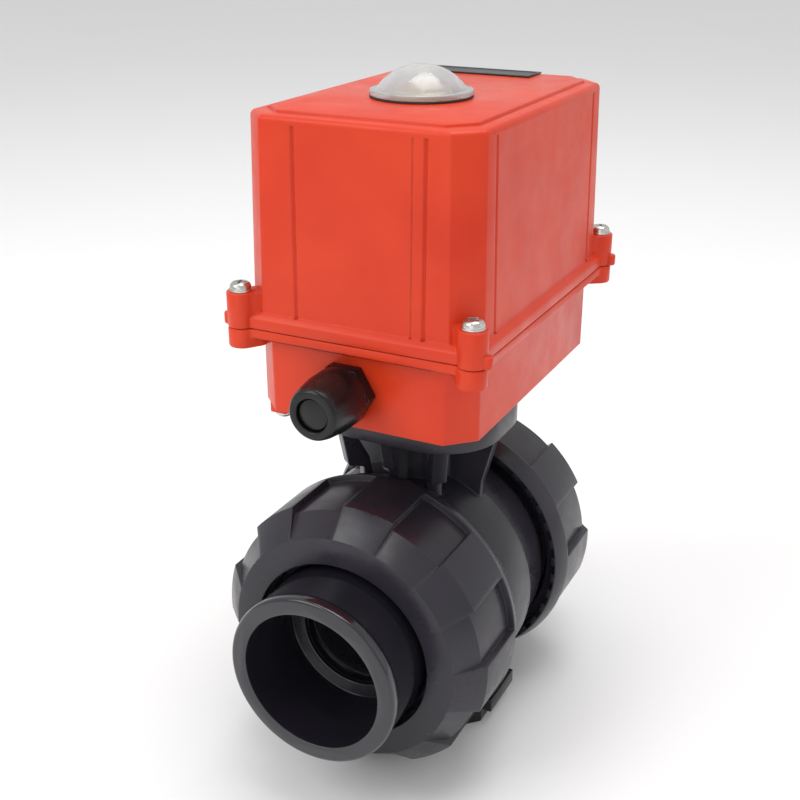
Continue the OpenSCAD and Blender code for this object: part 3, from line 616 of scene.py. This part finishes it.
@dataclass(frozen=True)
class WorkedMetal:
    """Bare or plated metal, with tool marks drawn out along an axis and a painted highlight along its edges.
    """

    name: str
    colour: tuple[float, float, float]
    stain: tuple[float, float, float]
    roughness: float = 0.28
    along: Axis = Axis.Z
    mark: float = 0.25
    mark_depth: float = 0.006
    edge_radius: float = 0.25

    def material(self) -> bpy.types.Material:
        """Builds the metal.

        Returns:
            The material.
        """
        g = Graph(self.name)
        normal, edges = g.rounded_edges(self.edge_radius)
        stretch = [1.0, 1.0, 1.0]
        stretch[self.along.value] = 0.06
        marks = g.noise(self.mark, 3, 0.6, tuple(stretch))
        stain = g.ramp(g.noise(6, 4, 0.65, shift=4), 0.42, 0.72, 0, 0.7)
        colour = g.blend(stain, self.colour, self.stain)
        # Lighter colour along the edges: a painted edge highlight.
        colour = g.blend(g.math("MULTIPLY", edges, 0.6), colour, tuple(min(1, c * 1.35) for c in self.colour))
        gloss = g.ramp(marks, 0.3, 0.7, self.roughness - 0.1, self.roughness + 0.12)
        normal = g.bump(marks, self.mark_depth, normal, 0.6)
        return g.finish(Base_Color=colour, Metallic=1.0, Roughness=gloss, Normal=normal)


@dataclass(frozen=True)
class ClearMoulding:
    """Clear plastic gone a little milky, with fine scuffs."""

    name: str
    colour: tuple[float, float, float] = (0.93, 0.94, 0.94)
    haze: tuple[float, float, float] = (0.8, 0.82, 0.82)
    transmission: float = 0.72

    def material(self) -> bpy.types.Material:
        """Builds the plastic.

        Returns:
            The material.
        """
        g = Graph(self.name)
        colour = g.blend(g.ramp(g.noise(9, 3, 0.6), 0.35, 0.7), self.colour, self.haze)
        gloss = g.ramp(g.noise(4, 4, 0.7, shift=6), 0.3, 0.75, 0.06, 0.24)
        normal = g.bump(g.noise(0.5, 3, 0.6, (1, 0.1, 1)), 0.004, None, 0.5)
        normal = g.bump(g.noise(8, 1, 0.4, shift=2), 0.05, normal, 0.4)
        return g.finish(Base_Color=colour, Roughness=gloss, Normal=normal, IOR=1.49,
                        Transmission_Weight=self.transmission)


class Finish(Enum):
    """Every finish on the object, with the record's slot of the same name."""

    red_paint = PowderCoat("red_powder_coat", (0.68, 0.050, 0.014), (0.59, 0.034, 0.009), (0.76, 0.11, 0.05))
    grey_upvc = Moulded("grey_upvc", (0.024, 0.021, 0.030), (0.018, 0.017, 0.023), roughness=0.31,
                        patch=42, grain=0.7, grain_depth=0.014, wave_depth=0.10, edge_radius=0.7,
                        edge=(0.10, 0.10, 0.12), shine=0.42)
    gloss_upvc = Moulded("glossy_upvc", (0.015, 0.013, 0.019), (0.010, 0.010, 0.014), roughness=0.13,
                         patch=34, grain=0.9, grain_depth=0.008, wave_depth=0.4, edge_radius=0.5,
                         edge=(0.09, 0.09, 0.11), edge_share=0.3, coat=0.4)
    black_plastic = Moulded("black_nylon", (0.004, 0.004, 0.005), (0.008, 0.008, 0.009), roughness=0.3,
                            patch=18, grain_depth=0.008, wave_depth=0.02, edge_radius=0.35,
                            edge=(0.05, 0.05, 0.05), edge_share=0.35, shine=0.36)
    stainless_steel = WorkedMetal("stainless_steel", (0.62, 0.61, 0.58), (0.44, 0.43, 0.40),
                                  roughness=0.24)
    brass = WorkedMetal("brass", (0.74, 0.53, 0.24), (0.52, 0.35, 0.15), roughness=0.28)
    bronze = WorkedMetal("sintered_bronze", (0.55, 0.36, 0.18), (0.38, 0.24, 0.12), roughness=0.42,
                         mark=0.5, mark_depth=0.02)
    ptfe = Moulded("ptfe", (0.82, 0.82, 0.79), (0.74, 0.74, 0.71), roughness=0.42, patch=20, grain=0.5,
                   grain_depth=0.01, edge=(0.9, 0.9, 0.88), edge_share=0.3, subsurface=0.15)
    seal_rubber = Moulded("seal_rubber", (0.016, 0.016, 0.017), (0.026, 0.026, 0.026), roughness=0.62,
                          patch=8, grain=0.5, grain_depth=0.02, edge_radius=0.2, edge=(0.07, 0.07, 0.07),
                          edge_share=0.5)
    clear_dome = ClearMoulding("clear_dome")
    label_plate = WorkedMetal("anodised_plate", (0.055, 0.058, 0.064), (0.035, 0.037, 0.042),
                              roughness=0.34, along=Axis.X, mark=0.3)
    indicator_plastic = Moulded("indicator_yellow", (0.80, 0.62, 0.12), (0.72, 0.52, 0.07), roughness=0.34,
                                edge=(0.9, 0.78, 0.35), edge_share=0.5)
    machined_steel = WorkedMetal("machined_steel", (0.45, 0.45, 0.46), (0.30, 0.29, 0.28), roughness=0.32)
    zinc_plate = WorkedMetal("zinc_plate", (0.60, 0.62, 0.64), (0.46, 0.47, 0.45), roughness=0.36,
                             along=Axis.X, mark=1.2, mark_depth=0.01)
    board_green = Moulded("solder_mask", (0.015, 0.15, 0.055), (0.010, 0.10, 0.035), roughness=0.3,
                          patch=6, grain=0.8, grain_depth=0.01, wave_depth=0.02, edge_radius=0.1,
                          edge=(0.35, 0.32, 0.2), edge_share=0.3, coat=0.4)
    relay_blue = Moulded("relay_blue", (0.03, 0.09, 0.36), (0.02, 0.07, 0.30), roughness=0.32,
                         edge=(0.2, 0.28, 0.5))
    terminal_green = Moulded("terminal_green", (0.05, 0.30, 0.10), (0.04, 0.24, 0.07), roughness=0.4,
                             grain_depth=0.008, edge=(0.3, 0.5, 0.33))
    cam_red = Moulded("cam_red", (0.60, 0.03, 0.02), (0.5, 0.02, 0.015), roughness=0.36,
                      edge=(0.75, 0.2, 0.16))
    cam_green = Moulded("cam_green", (0.03, 0.34, 0.08), (0.02, 0.27, 0.06), roughness=0.36,
                        edge=(0.25, 0.55, 0.3))


class Paintbox:
    """Builds each material once and puts it on pieces."""

    def __init__(self) -> None:
        """Starts with no material made."""
        self.made: dict[Finish, bpy.types.Material] = {}

    def dress(self, piece: bpy.types.Object, finish: Finish) -> None:
        """Gives a piece one finish all over.

        Args:
            piece: The piece or CAD node.
            finish: The finish.
        """
        if finish not in self.made:
            self.made[finish] = finish.value.material()
        if not piece.data.materials:
            piece.data.materials.append(None)
        for place in piece.material_slots:
            place.link = "OBJECT"
            place.material = self.made[finish]


PAINTS = Paintbox()


def fit(piece: bpy.types.Object, node: str, finish: Finish) -> bpy.types.Object:
    """Puts a finished piece in a CAD node's place: its body and its finish.

    Args:
        piece: The finished piece.
        node: The CAD node that it stands for.
        finish: Its finish.

    Returns:
        The same piece.
    """
    piece.data.materials.clear()
    PAINTS.dress(piece, finish)
    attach(piece, frame["nodes"][node]["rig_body"])
    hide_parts(node)
    log.info("%s: %d faces", piece.name, len(piece.data.polygons))
    return piece


# ---------------------------------------------------------------- actuator housing


@dataclass
class Housing:
    """The red case: a drafted cover with grooved walls on a cast base."""

    width: float = 105
    length: float = 152
    corner: float = 10.5
    wall: float = 4
    rim_out: float = 2.5
    rim_height: float = 4.5
    rim_corner: float = 5
    rim_slope: float = 2.5
    rim_tuck: float = 0.2
    shoulder: float = 3
    nub_radius: float = 2.6
    nub_height: float = 5.2
    draft: float = 1.5
    ear_radius: float = 6
    ear_height: float = 15
    screw_hole: float = 2.9
    window: float = 15
    groove: float = 1.1
    front_grooves: tuple[float, ...] = (-25.8, 25.6, 31)
    thin_groove: float = 25.6
    side_groove: float = 55.5

    def __post_init__(self) -> None:
        """Takes the seam, the top and the middle from the CAD cover."""
        low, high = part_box("cover")
        self.bottom = low.z / MM
        self.top = high.z / MM
        self.middle_y = (low.y + high.y) / 2 / MM
        self.ears = [(sx * (self.width / 2 - 0.5), self.middle_y + sy * self.length / 2)
                     for sx in (-1, 1) for sy in (-1, 1)]

    def build_cover(self) -> bpy.types.Object:
        """Models the cover and fits it in place.

        Returns:
            The cover.
        """
        cover = raised("cover_shell", self.width, self.length, self.corner, self.middle_y,
                       self.shell_levels())
        rim_top = self.bottom + self.rim_height
        rim = raised("rim", self.width, self.length, self.rim_corner, self.middle_y,
                     [(self.bottom, -self.rim_out), (rim_top, -self.rim_out),
                      (rim_top + self.rim_slope, self.rim_tuck)])
        soften(cover, 0.5, 2, 24)
        soften(rim, 0.6, 2, 24)
        combine(cover, rim, "UNION")
        for at in self.ears:
            combine(cover, self.ear(at), "UNION")
            combine(cover, self.nub(at), "UNION")
        ceiling = self.top - self.wall
        inside = raised("inside", self.width - 2 * self.wall, self.length - 2 * self.wall,
                        self.corner - 2, self.middle_y,
                        [(self.bottom - 1, 0), (ceiling - self.shoulder, self.draft),
                         (ceiling, self.draft + self.shoulder)])
        combine(cover, inside, "DIFFERENCE")
        for at in self.ears:
            hole = cylinder("hole", self.screw_hole, self.bottom - 2,
                            self.bottom + self.ear_height + 2, at, 24)
            combine(cover, hole, "DIFFERENCE")
        combine(cover, cylinder("hole", self.window, self.top - 9, self.top + 2), "DIFFERENCE")
        for cutter in self.groove_cutters():
            combine(cover, cutter, "DIFFERENCE")
        smooth(cover, 30)
        return fit(cover, "cover", Finish.red_paint)

    def shell_levels(self) -> list[tuple[float, float]]:
        """Leaning walls, a tight shoulder, a sloping band and a step to the top.

        Returns:
            Height and inset of each level of the shell.
        """
        top, lean = self.top, self.draft
        return [(self.bottom, 0), (top - 3.4, lean), (top - 2.3, lean + 0.35), (top - 1.5, lean + 1.2),
                (top - 0.9, lean + 5), (top - 1.5, lean + 5.3), (top - 1.5, lean + 5.9), (top, lean + 6.1)]

    def ear(self, at: tuple[float, float]) -> bpy.types.Object:
        """Screw ear with a web that joins it to the corner behind it.

        Args:
            at: The ear's axis, as (x, y).

        Returns:
            The ear and its web, as one.
        """
        top = self.bottom + self.ear_height
        ear = cylinder("ear", self.ear_radius, self.bottom, top, at)
        soften(ear, 0.6, 2, 60)
        web = block("web", (-self.ear_radius + 0.7, 0, self.bottom), (self.ear_radius - 0.7, 9, top - 0.4))
        inward = Vector((-math.copysign(1, at[0]), math.copysign(1, self.middle_y - at[1])))
        turn = Matrix.Rotation(math.atan2(-inward.x, inward.y), 4, "Z")
        web.data.transform(Matrix.Translation((at[0] * MM, at[1] * MM, 0)) @ turn)
        combine(ear, web, "UNION")
        return ear

    def nub(self, at: tuple[float, float]) -> bpy.types.Object:
        """Small casting nub on the outer side of an ear, just above the seam.

        Args:
            at: The ear's axis, as (x, y).

        Returns:
            The nub.
        """
        out = math.copysign(self.ear_radius + 0.4, at[0])
        nub = cylinder("nub", self.nub_radius, self.bottom, self.bottom + self.nub_height,
                       (at[0] + out * 0.9, at[1]), 24)
        soften(nub, 0.8, 2, 60)
        return nub

    def groove_cutters(self) -> list[bpy.types.Object]:
        """Diamond bars that cut the upright grooves into the drafted walls.

        Returns:
            The bars.
        """
        low, high = self.bottom + self.rim_height + 1.8, self.top - 4.5
        lean_low, lean_high = 0.1, self.draft
        cutters = []
        half_w, half_l = self.width / 2, self.length / 2
        for x in self.front_grooves:
            size = self.groove * (0.5 if x == self.thin_groove else 1)
            for sign in (-1, 1):
                foot = (x, self.middle_y + sign * (half_l - lean_low))
                head = (x, self.middle_y + sign * (half_l - lean_high))
                cutters.append(self.groove_bar(foot, head, low, high, size))
        for along in (-self.side_groove, self.side_groove):
            for sign in (-1, 1):
                foot = (sign * (half_w - lean_low), self.middle_y + along)
                head = (sign * (half_w - lean_high), self.middle_y + along)
                cutters.append(self.groove_bar(foot, head, low, high, self.groove))
        return cutters

    def groove_bar(self, foot: tuple[float, float], head: tuple[float, float], low: float, high: float,
                   size: float) -> bpy.types.Object:
        """One diamond bar that leans with the wall.

        Args:
            foot: Its axis at the bottom, as (x, y).
            head: Its axis at the top.
            low: Height of its bottom.
            high: Height of its top.
            size: Half its width.

        Returns:
            The bar.
        """
        bar = cylinder("bar", size, low, high, foot, 4)
        with editing(bar) as mesh:
            select_mode("FACE")
            pick(mesh, "faces", lambda middle, normal: normal.z > 0.9)
            lean = ((head[0] - foot[0]) * MM, (head[1] - foot[1]) * MM, 0)
            bpy.ops.transform.translate(value=lean)
        return bar

    def build_base(self) -> bpy.types.Object:
        """Finishes the cast base from its CAD shape, with its edges rounded.

        Returns:
            The base.
        """
        base = merged_copy("base_housing")
        soften(base, 0.8, 2, 40, clamp=False)
        smooth(base, 30)
        return fit(base, "base_housing", Finish.red_paint)


@dataclass
class PanScrews:
    """Cross-slotted pan-head screws, one group of separate screws."""

    node: str
    head_radius: float = 4.4
    head_height: float = 3.0
    slot: float = 1.15
    point: float = 1.2
    pitch: float = 1.0
    thread_depth: float = 0.32
    finish: Finish = Finish.stainless_steel

    def build(self, places: list[tuple[float, float]], seat: float, tip: float,
              shank: float) -> bpy.types.Object:
        """Models one screw, copies it to each place and joins the copies.

        Args:
            places: The screws' axes, as (x, y).
            seat: Height of the heads' underside.
            tip: Height of the screws' tips.
            shank: The shank's radius.

        Returns:
            The group.
        """
        r, h = self.head_radius, self.head_height
        z = tip + self.point
        profile = [(shank - 0.7, tip), (shank, z)]
        while z < seat - 1.6:
            profile += [(shank, z + 0.1), (shank - self.thread_depth, z + 0.5), (shank, z + 0.9)]
            z += self.pitch
        profile += [(shank, seat), (r, seat), (r, seat + 0.35 * h), (r * 0.93, seat + 0.62 * h),
                    (r * 0.76, seat + 0.85 * h), (r * 0.45, seat + 0.97 * h), (r * 0.1, seat + h)]
        screw = turned("screw", profile, 40, closed=False)
        for turn in (0, 90):
            half, reach = self.slot / 2, 0.62 * r
            slot = block("slot", (-half, -reach, seat + 0.42 * h), (half, reach, seat + h + 1))
            soften(slot, 0.25, 1, 60)
            slot.data.transform(Matrix.Rotation(math.radians(turn), 4, "Z"))
            combine(screw, slot, "DIFFERENCE")
        smooth(screw, 35)
        copies = []
        for number, (x, y) in enumerate(places):
            copy = bpy.data.objects.new(f"{self.node}_{number}", screw.data.copy())
            bpy.context.scene.collection.objects.link(copy)
            turn = Matrix.Rotation(math.radians(17 + 31 * number), 4, "Z")
            copy.data.transform(Matrix.Translation((x * MM, y * MM, 0)) @ turn)
            copies.append(copy)
        bpy.data.objects.remove(screw)
        only(copies[0])
        for copy in copies[1:]:
            copy.select_set(True)
        bpy.ops.object.join()
        group = bpy.context.active_object
        group.name = self.node + "_cross_slotted"
        return fit(group, self.node, self.finish)


@dataclass
class IndicatorDome:
    """The clear dome over the position indicator."""

    rim: float = 21.5
    foot: float = 19.0
    flange: float = 2.0
    wall: float = 1.8
    rings: int = 12

    @staticmethod
    def on_arc(radius: float, hub: float, turn: float) -> tuple[float, float]:
        """Radius and height of a sphere's ring, at an angle from its top."""
        return radius * math.sin(turn), hub + radius * math.cos(turn)

    def build(self) -> bpy.types.Object:
        """Models the dome as one turned wall with a flange.

        Returns:
            The dome.
        """
        low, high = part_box("indicator_dome")
        bottom, top = low.z / MM, high.z / MM
        rise = top - bottom - self.flange
        sphere = (self.foot ** 2 + rise ** 2) / (2 * rise)
        hub = top - sphere
        edge = math.asin(self.foot / sphere)
        outer = [self.on_arc(sphere, hub, edge * (1 - i / self.rings)) for i in range(self.rings)]
        inner_r = sphere - self.wall
        inner_edge = math.acos((bottom + self.flange - 0.6 - hub) / inner_r)
        inner = [self.on_arc(inner_r, hub, inner_edge * i / self.rings) for i in range(1, self.rings + 1)]
        profile = [(self.rim, bottom), (self.rim, bottom + self.flange)] + outer
        profile += [(0.05, top), (0.05, hub + inner_r)] + inner + [(self.foot - 2.5, bottom)]
        dome = turned("clear_dome", profile, 96)
        soften(dome, 0.3, 2, 40)
        smooth(dome, 40)
        return fit(dome, "indicator_dome", Finish.clear_dome)


@dataclass
class Nameplate:
    """Blank plate on the cover, with a raised border."""

    border: float = 1.6
    sunk: float = 0.25

    def build(self) -> bpy.types.Object:
        """Models the plate: a block whose top is inset and pressed in.

        Returns:
            The plate.
        """
        low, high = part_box("nameplate")
        plate = block("blank_nameplate", tuple(low / MM), tuple(high / MM))
        with editing(plate) as mesh:
            select_mode("FACE")
            pick(mesh, "faces", lambda middle, normal: normal.z > 0.9)
            bpy.ops.mesh.inset(thickness=self.border * MM, depth=0)
            bpy.ops.mesh.inset(thickness=0.3 * MM, depth=-self.sunk * MM)
        soften(plate, 0.12, 2, 30)
        smooth(plate, 30)
        return fit(plate, "nameplate", Finish.label_plate)


# ---------------------------------------------------------------- valve


@dataclass
class UnionNut:
    """Ribbed union nut, with eight recessed channels and a ring of notches in its inner rim."""

    side: Side
    steps: int = 200
    radius: float = 64
    bore: float = 52.3
    hole: float = 41.5
    start: float = 26
    thread_start: float = 38
    shoulder: float = 66.5
    end: float = 77.5
    cone: float = 12.3
    gap_width: float = 5
    channels: int = 8
    channel_steps: int = 13
    channel_depth: float = 3
    notches: int = 40
    cone_radius: float = 53
    phase: float = -7.5

    def profile(self) -> list[tuple[float, float]]:
        """Traces the nut's section.

        Returns:
            Radius and distance from the stem's axis of each ring.
        """
        r = self.radius
        return [(r - 5.5, self.start), (r - 3, self.start),
                (r, self.start + 8), (r, self.start + 9), (r, self.start + 13),
                (r, self.cone_start), (self.cone_radius, self.end - 1.3), (self.hole, self.end),
                (self.hole, self.shoulder), (self.bore, self.shoulder), (self.bore, self.thread_start),
                (self.bore + 2, self.thread_start - 2),
                (self.bore + 2, self.start + 6), (r - 5.5, self.start + 6)]

    @property
    def cone_start(self) -> float:
        """Distance from the stem's axis at which the outer cone begins."""
        return self.end - self.cone

    def ring_of(self, middle: Vector) -> float:
        """Distance of a point from the nut's axis."""
        return math.hypot(middle.x, middle.y)

    def column(self, middle: Vector) -> int:
        """Number of the facet column that a face's middle lies in."""
        turn = math.degrees(math.atan2(middle.y, middle.x)) % 360
        return int(turn / (360 / self.steps))

    def in_channel(self, column: int) -> bool:
        """Whether a column lies in one of the channels.

        Args:
            column: The facet column's number.

        Returns:
            Whether a channel runs through it.
        """
        pitch = self.steps / self.channels
        first = (0.5 * pitch + self.side.value * self.phase_steps() - self.channel_steps / 2) % pitch
        return (column + 0.5 - first) % pitch < self.channel_steps

    def phase_steps(self) -> float:
        """The channels' phase, in facet columns."""
        return -self.phase / (360 / self.steps)

    def build(self) -> bpy.types.Object:
        """Models the nut: a turned ring with its channels pressed in and gaps cut between its teeth.

        Returns:
            The nut.
        """
        nut = turned(self.side.name.lower() + "_union_nut_ribbed", self.profile(), self.steps)
        with editing(nut) as mesh:
            select_mode("FACE")
            pick(mesh, "faces", lambda p, n: p.z > self.start + 9 and p.z < self.end - 1.4
                 and self.ring_of(p) > self.cone_radius and n.x * p.x + n.y * p.y > 0
                 and self.in_channel(self.column(p)))
            bpy.ops.mesh.extrude_region_move()
            deep = (self.radius - self.channel_depth) / self.radius
            shallow = (self.cone_radius - 0.35) / self.cone_radius
            mesh = bmesh.from_edit_mesh(nut.data)
            for vert in mesh.verts:
                if vert.select:
                    share = deep if vert.co.z / MM < self.cone_start + 0.1 else shallow
                    vert.co.x *= share
                    vert.co.y *= share
            bmesh.update_edit_mesh(nut.data)
        tidy_shell(nut)
        soften(nut, 0.7, 2, 28)
        combine(nut, self.teeth_gaps(), "DIFFERENCE")
        smooth(nut, 32)
        laid(nut, self.side, self.axis_height())
        return fit(nut, self.node, Finish.grey_upvc)

    def teeth_gaps(self) -> bpy.types.Object:
        """Ring of blocks that cut the gaps between the teeth inside the nut's rim.

        Returns:
            The blocks, as one piece.
        """
        r, half = self.radius, self.gap_width / 2
        gaps = block("gap", (r - 7, -half, self.start - 1), (r - 3.8, half, self.start + 5))
        with editing(gaps):
            turn = math.radians(360 / self.notches)
            bpy.ops.mesh.select_all(action="SELECT")
            for _ in range(self.notches - 1):
                bpy.ops.mesh.duplicate()
                bpy.ops.transform.rotate(value=turn, orient_axis="Z", orient_type="GLOBAL",
                                         center_override=(0, 0, 0))
        return gaps

    @property
    def node(self) -> str:
        """The CAD nut's name."""
        return self.side.name.lower() + "_union_nut"

    def axis_height(self) -> float:
        """Height of the pipe's axis, from the CAD nut's box."""
        low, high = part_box(self.node)
        return (low.z + high.z) / 2 / MM


@dataclass
class GlandNut:
    """Domed nut of the cable gland."""

    radius: float = 12.7
    mouth: float = 7
    inner: float = 9.1
    foot: float = 6.4
    end: float = 29

    def build(self) -> bpy.types.Object:
        """Models the nut on Z and lays it along the gland's axis.

        Returns:
            The finished nut, fitted to its node.
        """
        low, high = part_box("gland_nut")
        r, end = self.radius, self.end
        profile = [(self.inner, self.foot), (r - 0.5, self.foot), (r, self.foot + 0.5), (r, end - 13),
                   (r - 1.2, end - 4), (r - 2, end - 1), (r - 3, end), (self.mouth + 0.4, end),
                   (self.mouth, end - 0.5), (self.mouth, end - 3.6), (self.inner, end - 3.6)]
        nut = turned("gland_domed_nut", profile, 96)
        soften(nut, 0.25, 2, 25)
        smooth(nut, 35)
        at = Vector(((low.x + high.x) / 2, low.y + end * MM, (low.z + high.z) / 2))
        nut.data.transform(Matrix.Translation(at) @ Matrix.Rotation(math.radians(90), 4, "X"))
        return fit(nut, "gland_nut", Finish.black_plastic)


@dataclass(frozen=True)
class Eased:
    """A CAD node finished as a merged copy with rounded edges.

    Args:
        node: The CAD node.
        finish: Its finish.
        width: Width of the rounding in millimetres, or 0 for none.
        clamp: Whether the rounding stops where edges meet.
        angle: Least angle of an edge that is rounded, in degrees.
    """

    node: str
    finish: Finish
    width: float = 0.4
    clamp: bool = True
    angle: float = 35

    def build(self) -> bpy.types.Object:
        """Copies, rounds, shades and fits the node.

        Returns:
            The finished copy.
        """
        piece = merged_copy(self.node)
        if self.width > 0:
            soften(piece, self.width, 2, self.angle, self.clamp)
        smooth(piece, 32)
        return fit(piece, self.node, self.finish)


EASED = [
    Eased("valve_body", Finish.grey_upvc, 0.7, False, 40),
    Eased("foot_plate", Finish.black_plastic, 0.6, False),
    Eased("foot_screws", Finish.stainless_steel, 0.3),
    Eased("foot_inserts", Finish.brass, 0.2),
    Eased("ball", Finish.grey_upvc, 0),
    Eased("front_seat", Finish.ptfe, 0.4),
    Eased("rear_seat", Finish.ptfe, 0.4),
    Eased("seat_carrier", Finish.grey_upvc, 0.4),
    Eased("carrier_oring", Finish.seal_rubber, 0),
    Eased("stem", Finish.grey_upvc, 0.1),
    Eased("stem_orings", Finish.seal_rubber, 0),
    Eased("face_orings", Finish.seal_rubber, 0),
    Eased("front_end_connector", Finish.gloss_upvc, 0.7),
    Eased("rear_end_connector", Finish.gloss_upvc, 0.7),
    Eased("flange_bolts", Finish.stainless_steel, 0.35),
    Eased("flange_washers", Finish.stainless_steel, 0.2),
    Eased("cover_gasket", Finish.seal_rubber, 0.2),
    Eased("cover_washers", Finish.stainless_steel, 0.2),
    Eased("dome_gasket", Finish.seal_rubber, 0.25),
    Eased("position_indicator", Finish.indicator_plastic, 0.35),
    Eased("output_shaft", Finish.machined_steel, 0.4),
    Eased("output_gear", Finish.machined_steel, 0.12),
    Eased("shaft_bush", Finish.bronze, 0.3),
    Eased("plate_bush", Finish.bronze, 0.3),
    Eased("shaft_seal", Finish.seal_rubber, 0.2),
    Eased("gear_plate", Finish.zinc_plate, 0.3),
    Eased("plate_posts", Finish.zinc_plate, 0.3),
    Eased("plate_screws", Finish.stainless_steel, 0.2),
    Eased("second_gear", Finish.machined_steel, 0.12),
    Eased("first_gear", Finish.machined_steel, 0.12),
    Eased("gear_pins", Finish.stainless_steel, 0.3),
    Eased("motor", Finish.zinc_plate, 0.5),
    Eased("motor_shaft", Finish.stainless_steel, 0.2),
    Eased("motor_pinion", Finish.brass, 0.1),
    Eased("override_shaft", Finish.stainless_steel, 0.2),
    Eased("override_cap", Finish.seal_rubber, 0.3),
    Eased("capacitor", Finish.black_plastic, 0.5),
    Eased("circuit_board", Finish.board_green, 0.1),
    Eased("board_relays", Finish.relay_blue, 0.4),
    Eased("terminal_block", Finish.terminal_green, 0.1),
    Eased("open_cam", Finish.cam_red, 0.3),
    Eased("closed_cam", Finish.cam_green, 0.3),
    Eased("limit_switches", Finish.black_plastic, 0.4),
    Eased("open_lever", Finish.stainless_steel, 0.1),
    Eased("closed_lever", Finish.stainless_steel, 0.1),
    Eased("switch_bracket", Finish.zinc_plate, 0.2),
    Eased("gland_body", Finish.black_plastic, 0.5),
    Eased("gland_locknut", Finish.black_plastic, 0.4),
    Eased("gland_seal", Finish.seal_rubber, 0.3),
    Eased("gland_plug", Finish.black_plastic, 0.4),
    Eased("earth_screw", Finish.stainless_steel, 0),
]


# ---------------------------------------------------------------- studio


@dataclass
class Studio:
    """Pale floor, soft lights and the camera."""

    place: tuple[float, float, float] = (0.2157, -0.4478, 0.3691)
    pitch: float = 66.78
    yaw: float = 26.74
    lens: float = 53.36
    floor_size: float = 40
    aim: tuple[float, float, float] = (0, 0.01, 0.15)
    backdrop: float = 0.7
    lights: list[tuple[str, tuple, float, float]] = field(default_factory=lambda: [
        ("key", (-0.75, -1.0, 1.25), 0.9, 8.5),
        ("front_fill", (0.1, -1.6, 0.5), 1.2, 3),
        ("side", (1.4, 0.5, 0.7), 1.0, 0.8),
        ("top", (0.1, 0.2, 1.7), 1.0, 13),
    ])

    def build(self) -> None:
        """Sets up everything that isn't part of the object."""
        self.lay_floor()
        self.light()
        self.aim_camera()
        log.info("studio ready")

    def lay_floor(self) -> None:
        """Adds the pale floor."""
        bpy.ops.object.select_all(action="DESELECT")
        bpy.ops.mesh.primitive_plane_add(size=self.floor_size, location=(0, 0, 0))
        floor = bpy.context.active_object
        floor.name = "studio_floor"
        g = Graph("pale_floor")
        tone = g.blend(g.noise(400, 2, 0.5), (0.91,) * 3, (0.89,) * 3)
        floor.data.materials.append(g.finish(Base_Color=tone, Roughness=0.85))

    def light(self) -> None:
        """Adds the white surroundings and the area lights."""
        world = bpy.data.worlds.new("studio")
        world.use_nodes = True
        backdrop = world.node_tree.nodes["Background"]
        backdrop.inputs["Color"].default_value = (1, 1, 1, 1)
        backdrop.inputs["Strength"].default_value = self.backdrop
        bpy.context.scene.world = world
        for name, at, size, power in self.lights:
            lamp = bpy.data.lights.new(name, "AREA")
            lamp.size = size
            lamp.energy = power
            holder = bpy.data.objects.new(name, lamp)
            holder.location = at
            holder.rotation_euler = (Vector(self.aim) - Vector(at)).to_track_quat("-Z", "Y").to_euler()
            bpy.context.scene.collection.objects.link(holder)

    def aim_camera(self) -> None:
        """Adds the camera at its place."""
        eye = bpy.data.cameras.new("camera")
        eye.lens = self.lens
        camera = bpy.data.objects.new("camera", eye)
        camera.location = self.place
        camera.rotation_euler = (math.radians(self.pitch), 0, math.radians(self.yaw))
        bpy.context.scene.collection.objects.link(camera)
        bpy.context.scene.camera = camera
        bpy.context.scene.view_settings.view_transform = "Standard"


def main() -> None:
    """Builds the object's pieces in order, then the studio."""
    logging.basicConfig(level=logging.INFO, format="%(message)s")
    housing = Housing()
    housing.build_cover()
    housing.build_base()
    ear_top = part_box("cover_washers")[1].z / MM
    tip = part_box("cover_screws")[0].z / MM
    PanScrews("cover_screws").build(housing.ears, ear_top, tip, 2.5)
    IndicatorDome().build()
    Nameplate().build()
    for side in Side:
        UnionNut(side).build()
    GlandNut().build()
    for eased in EASED:
        eased.build()
    Studio().build()


if __name__ == "__main__":
    main()
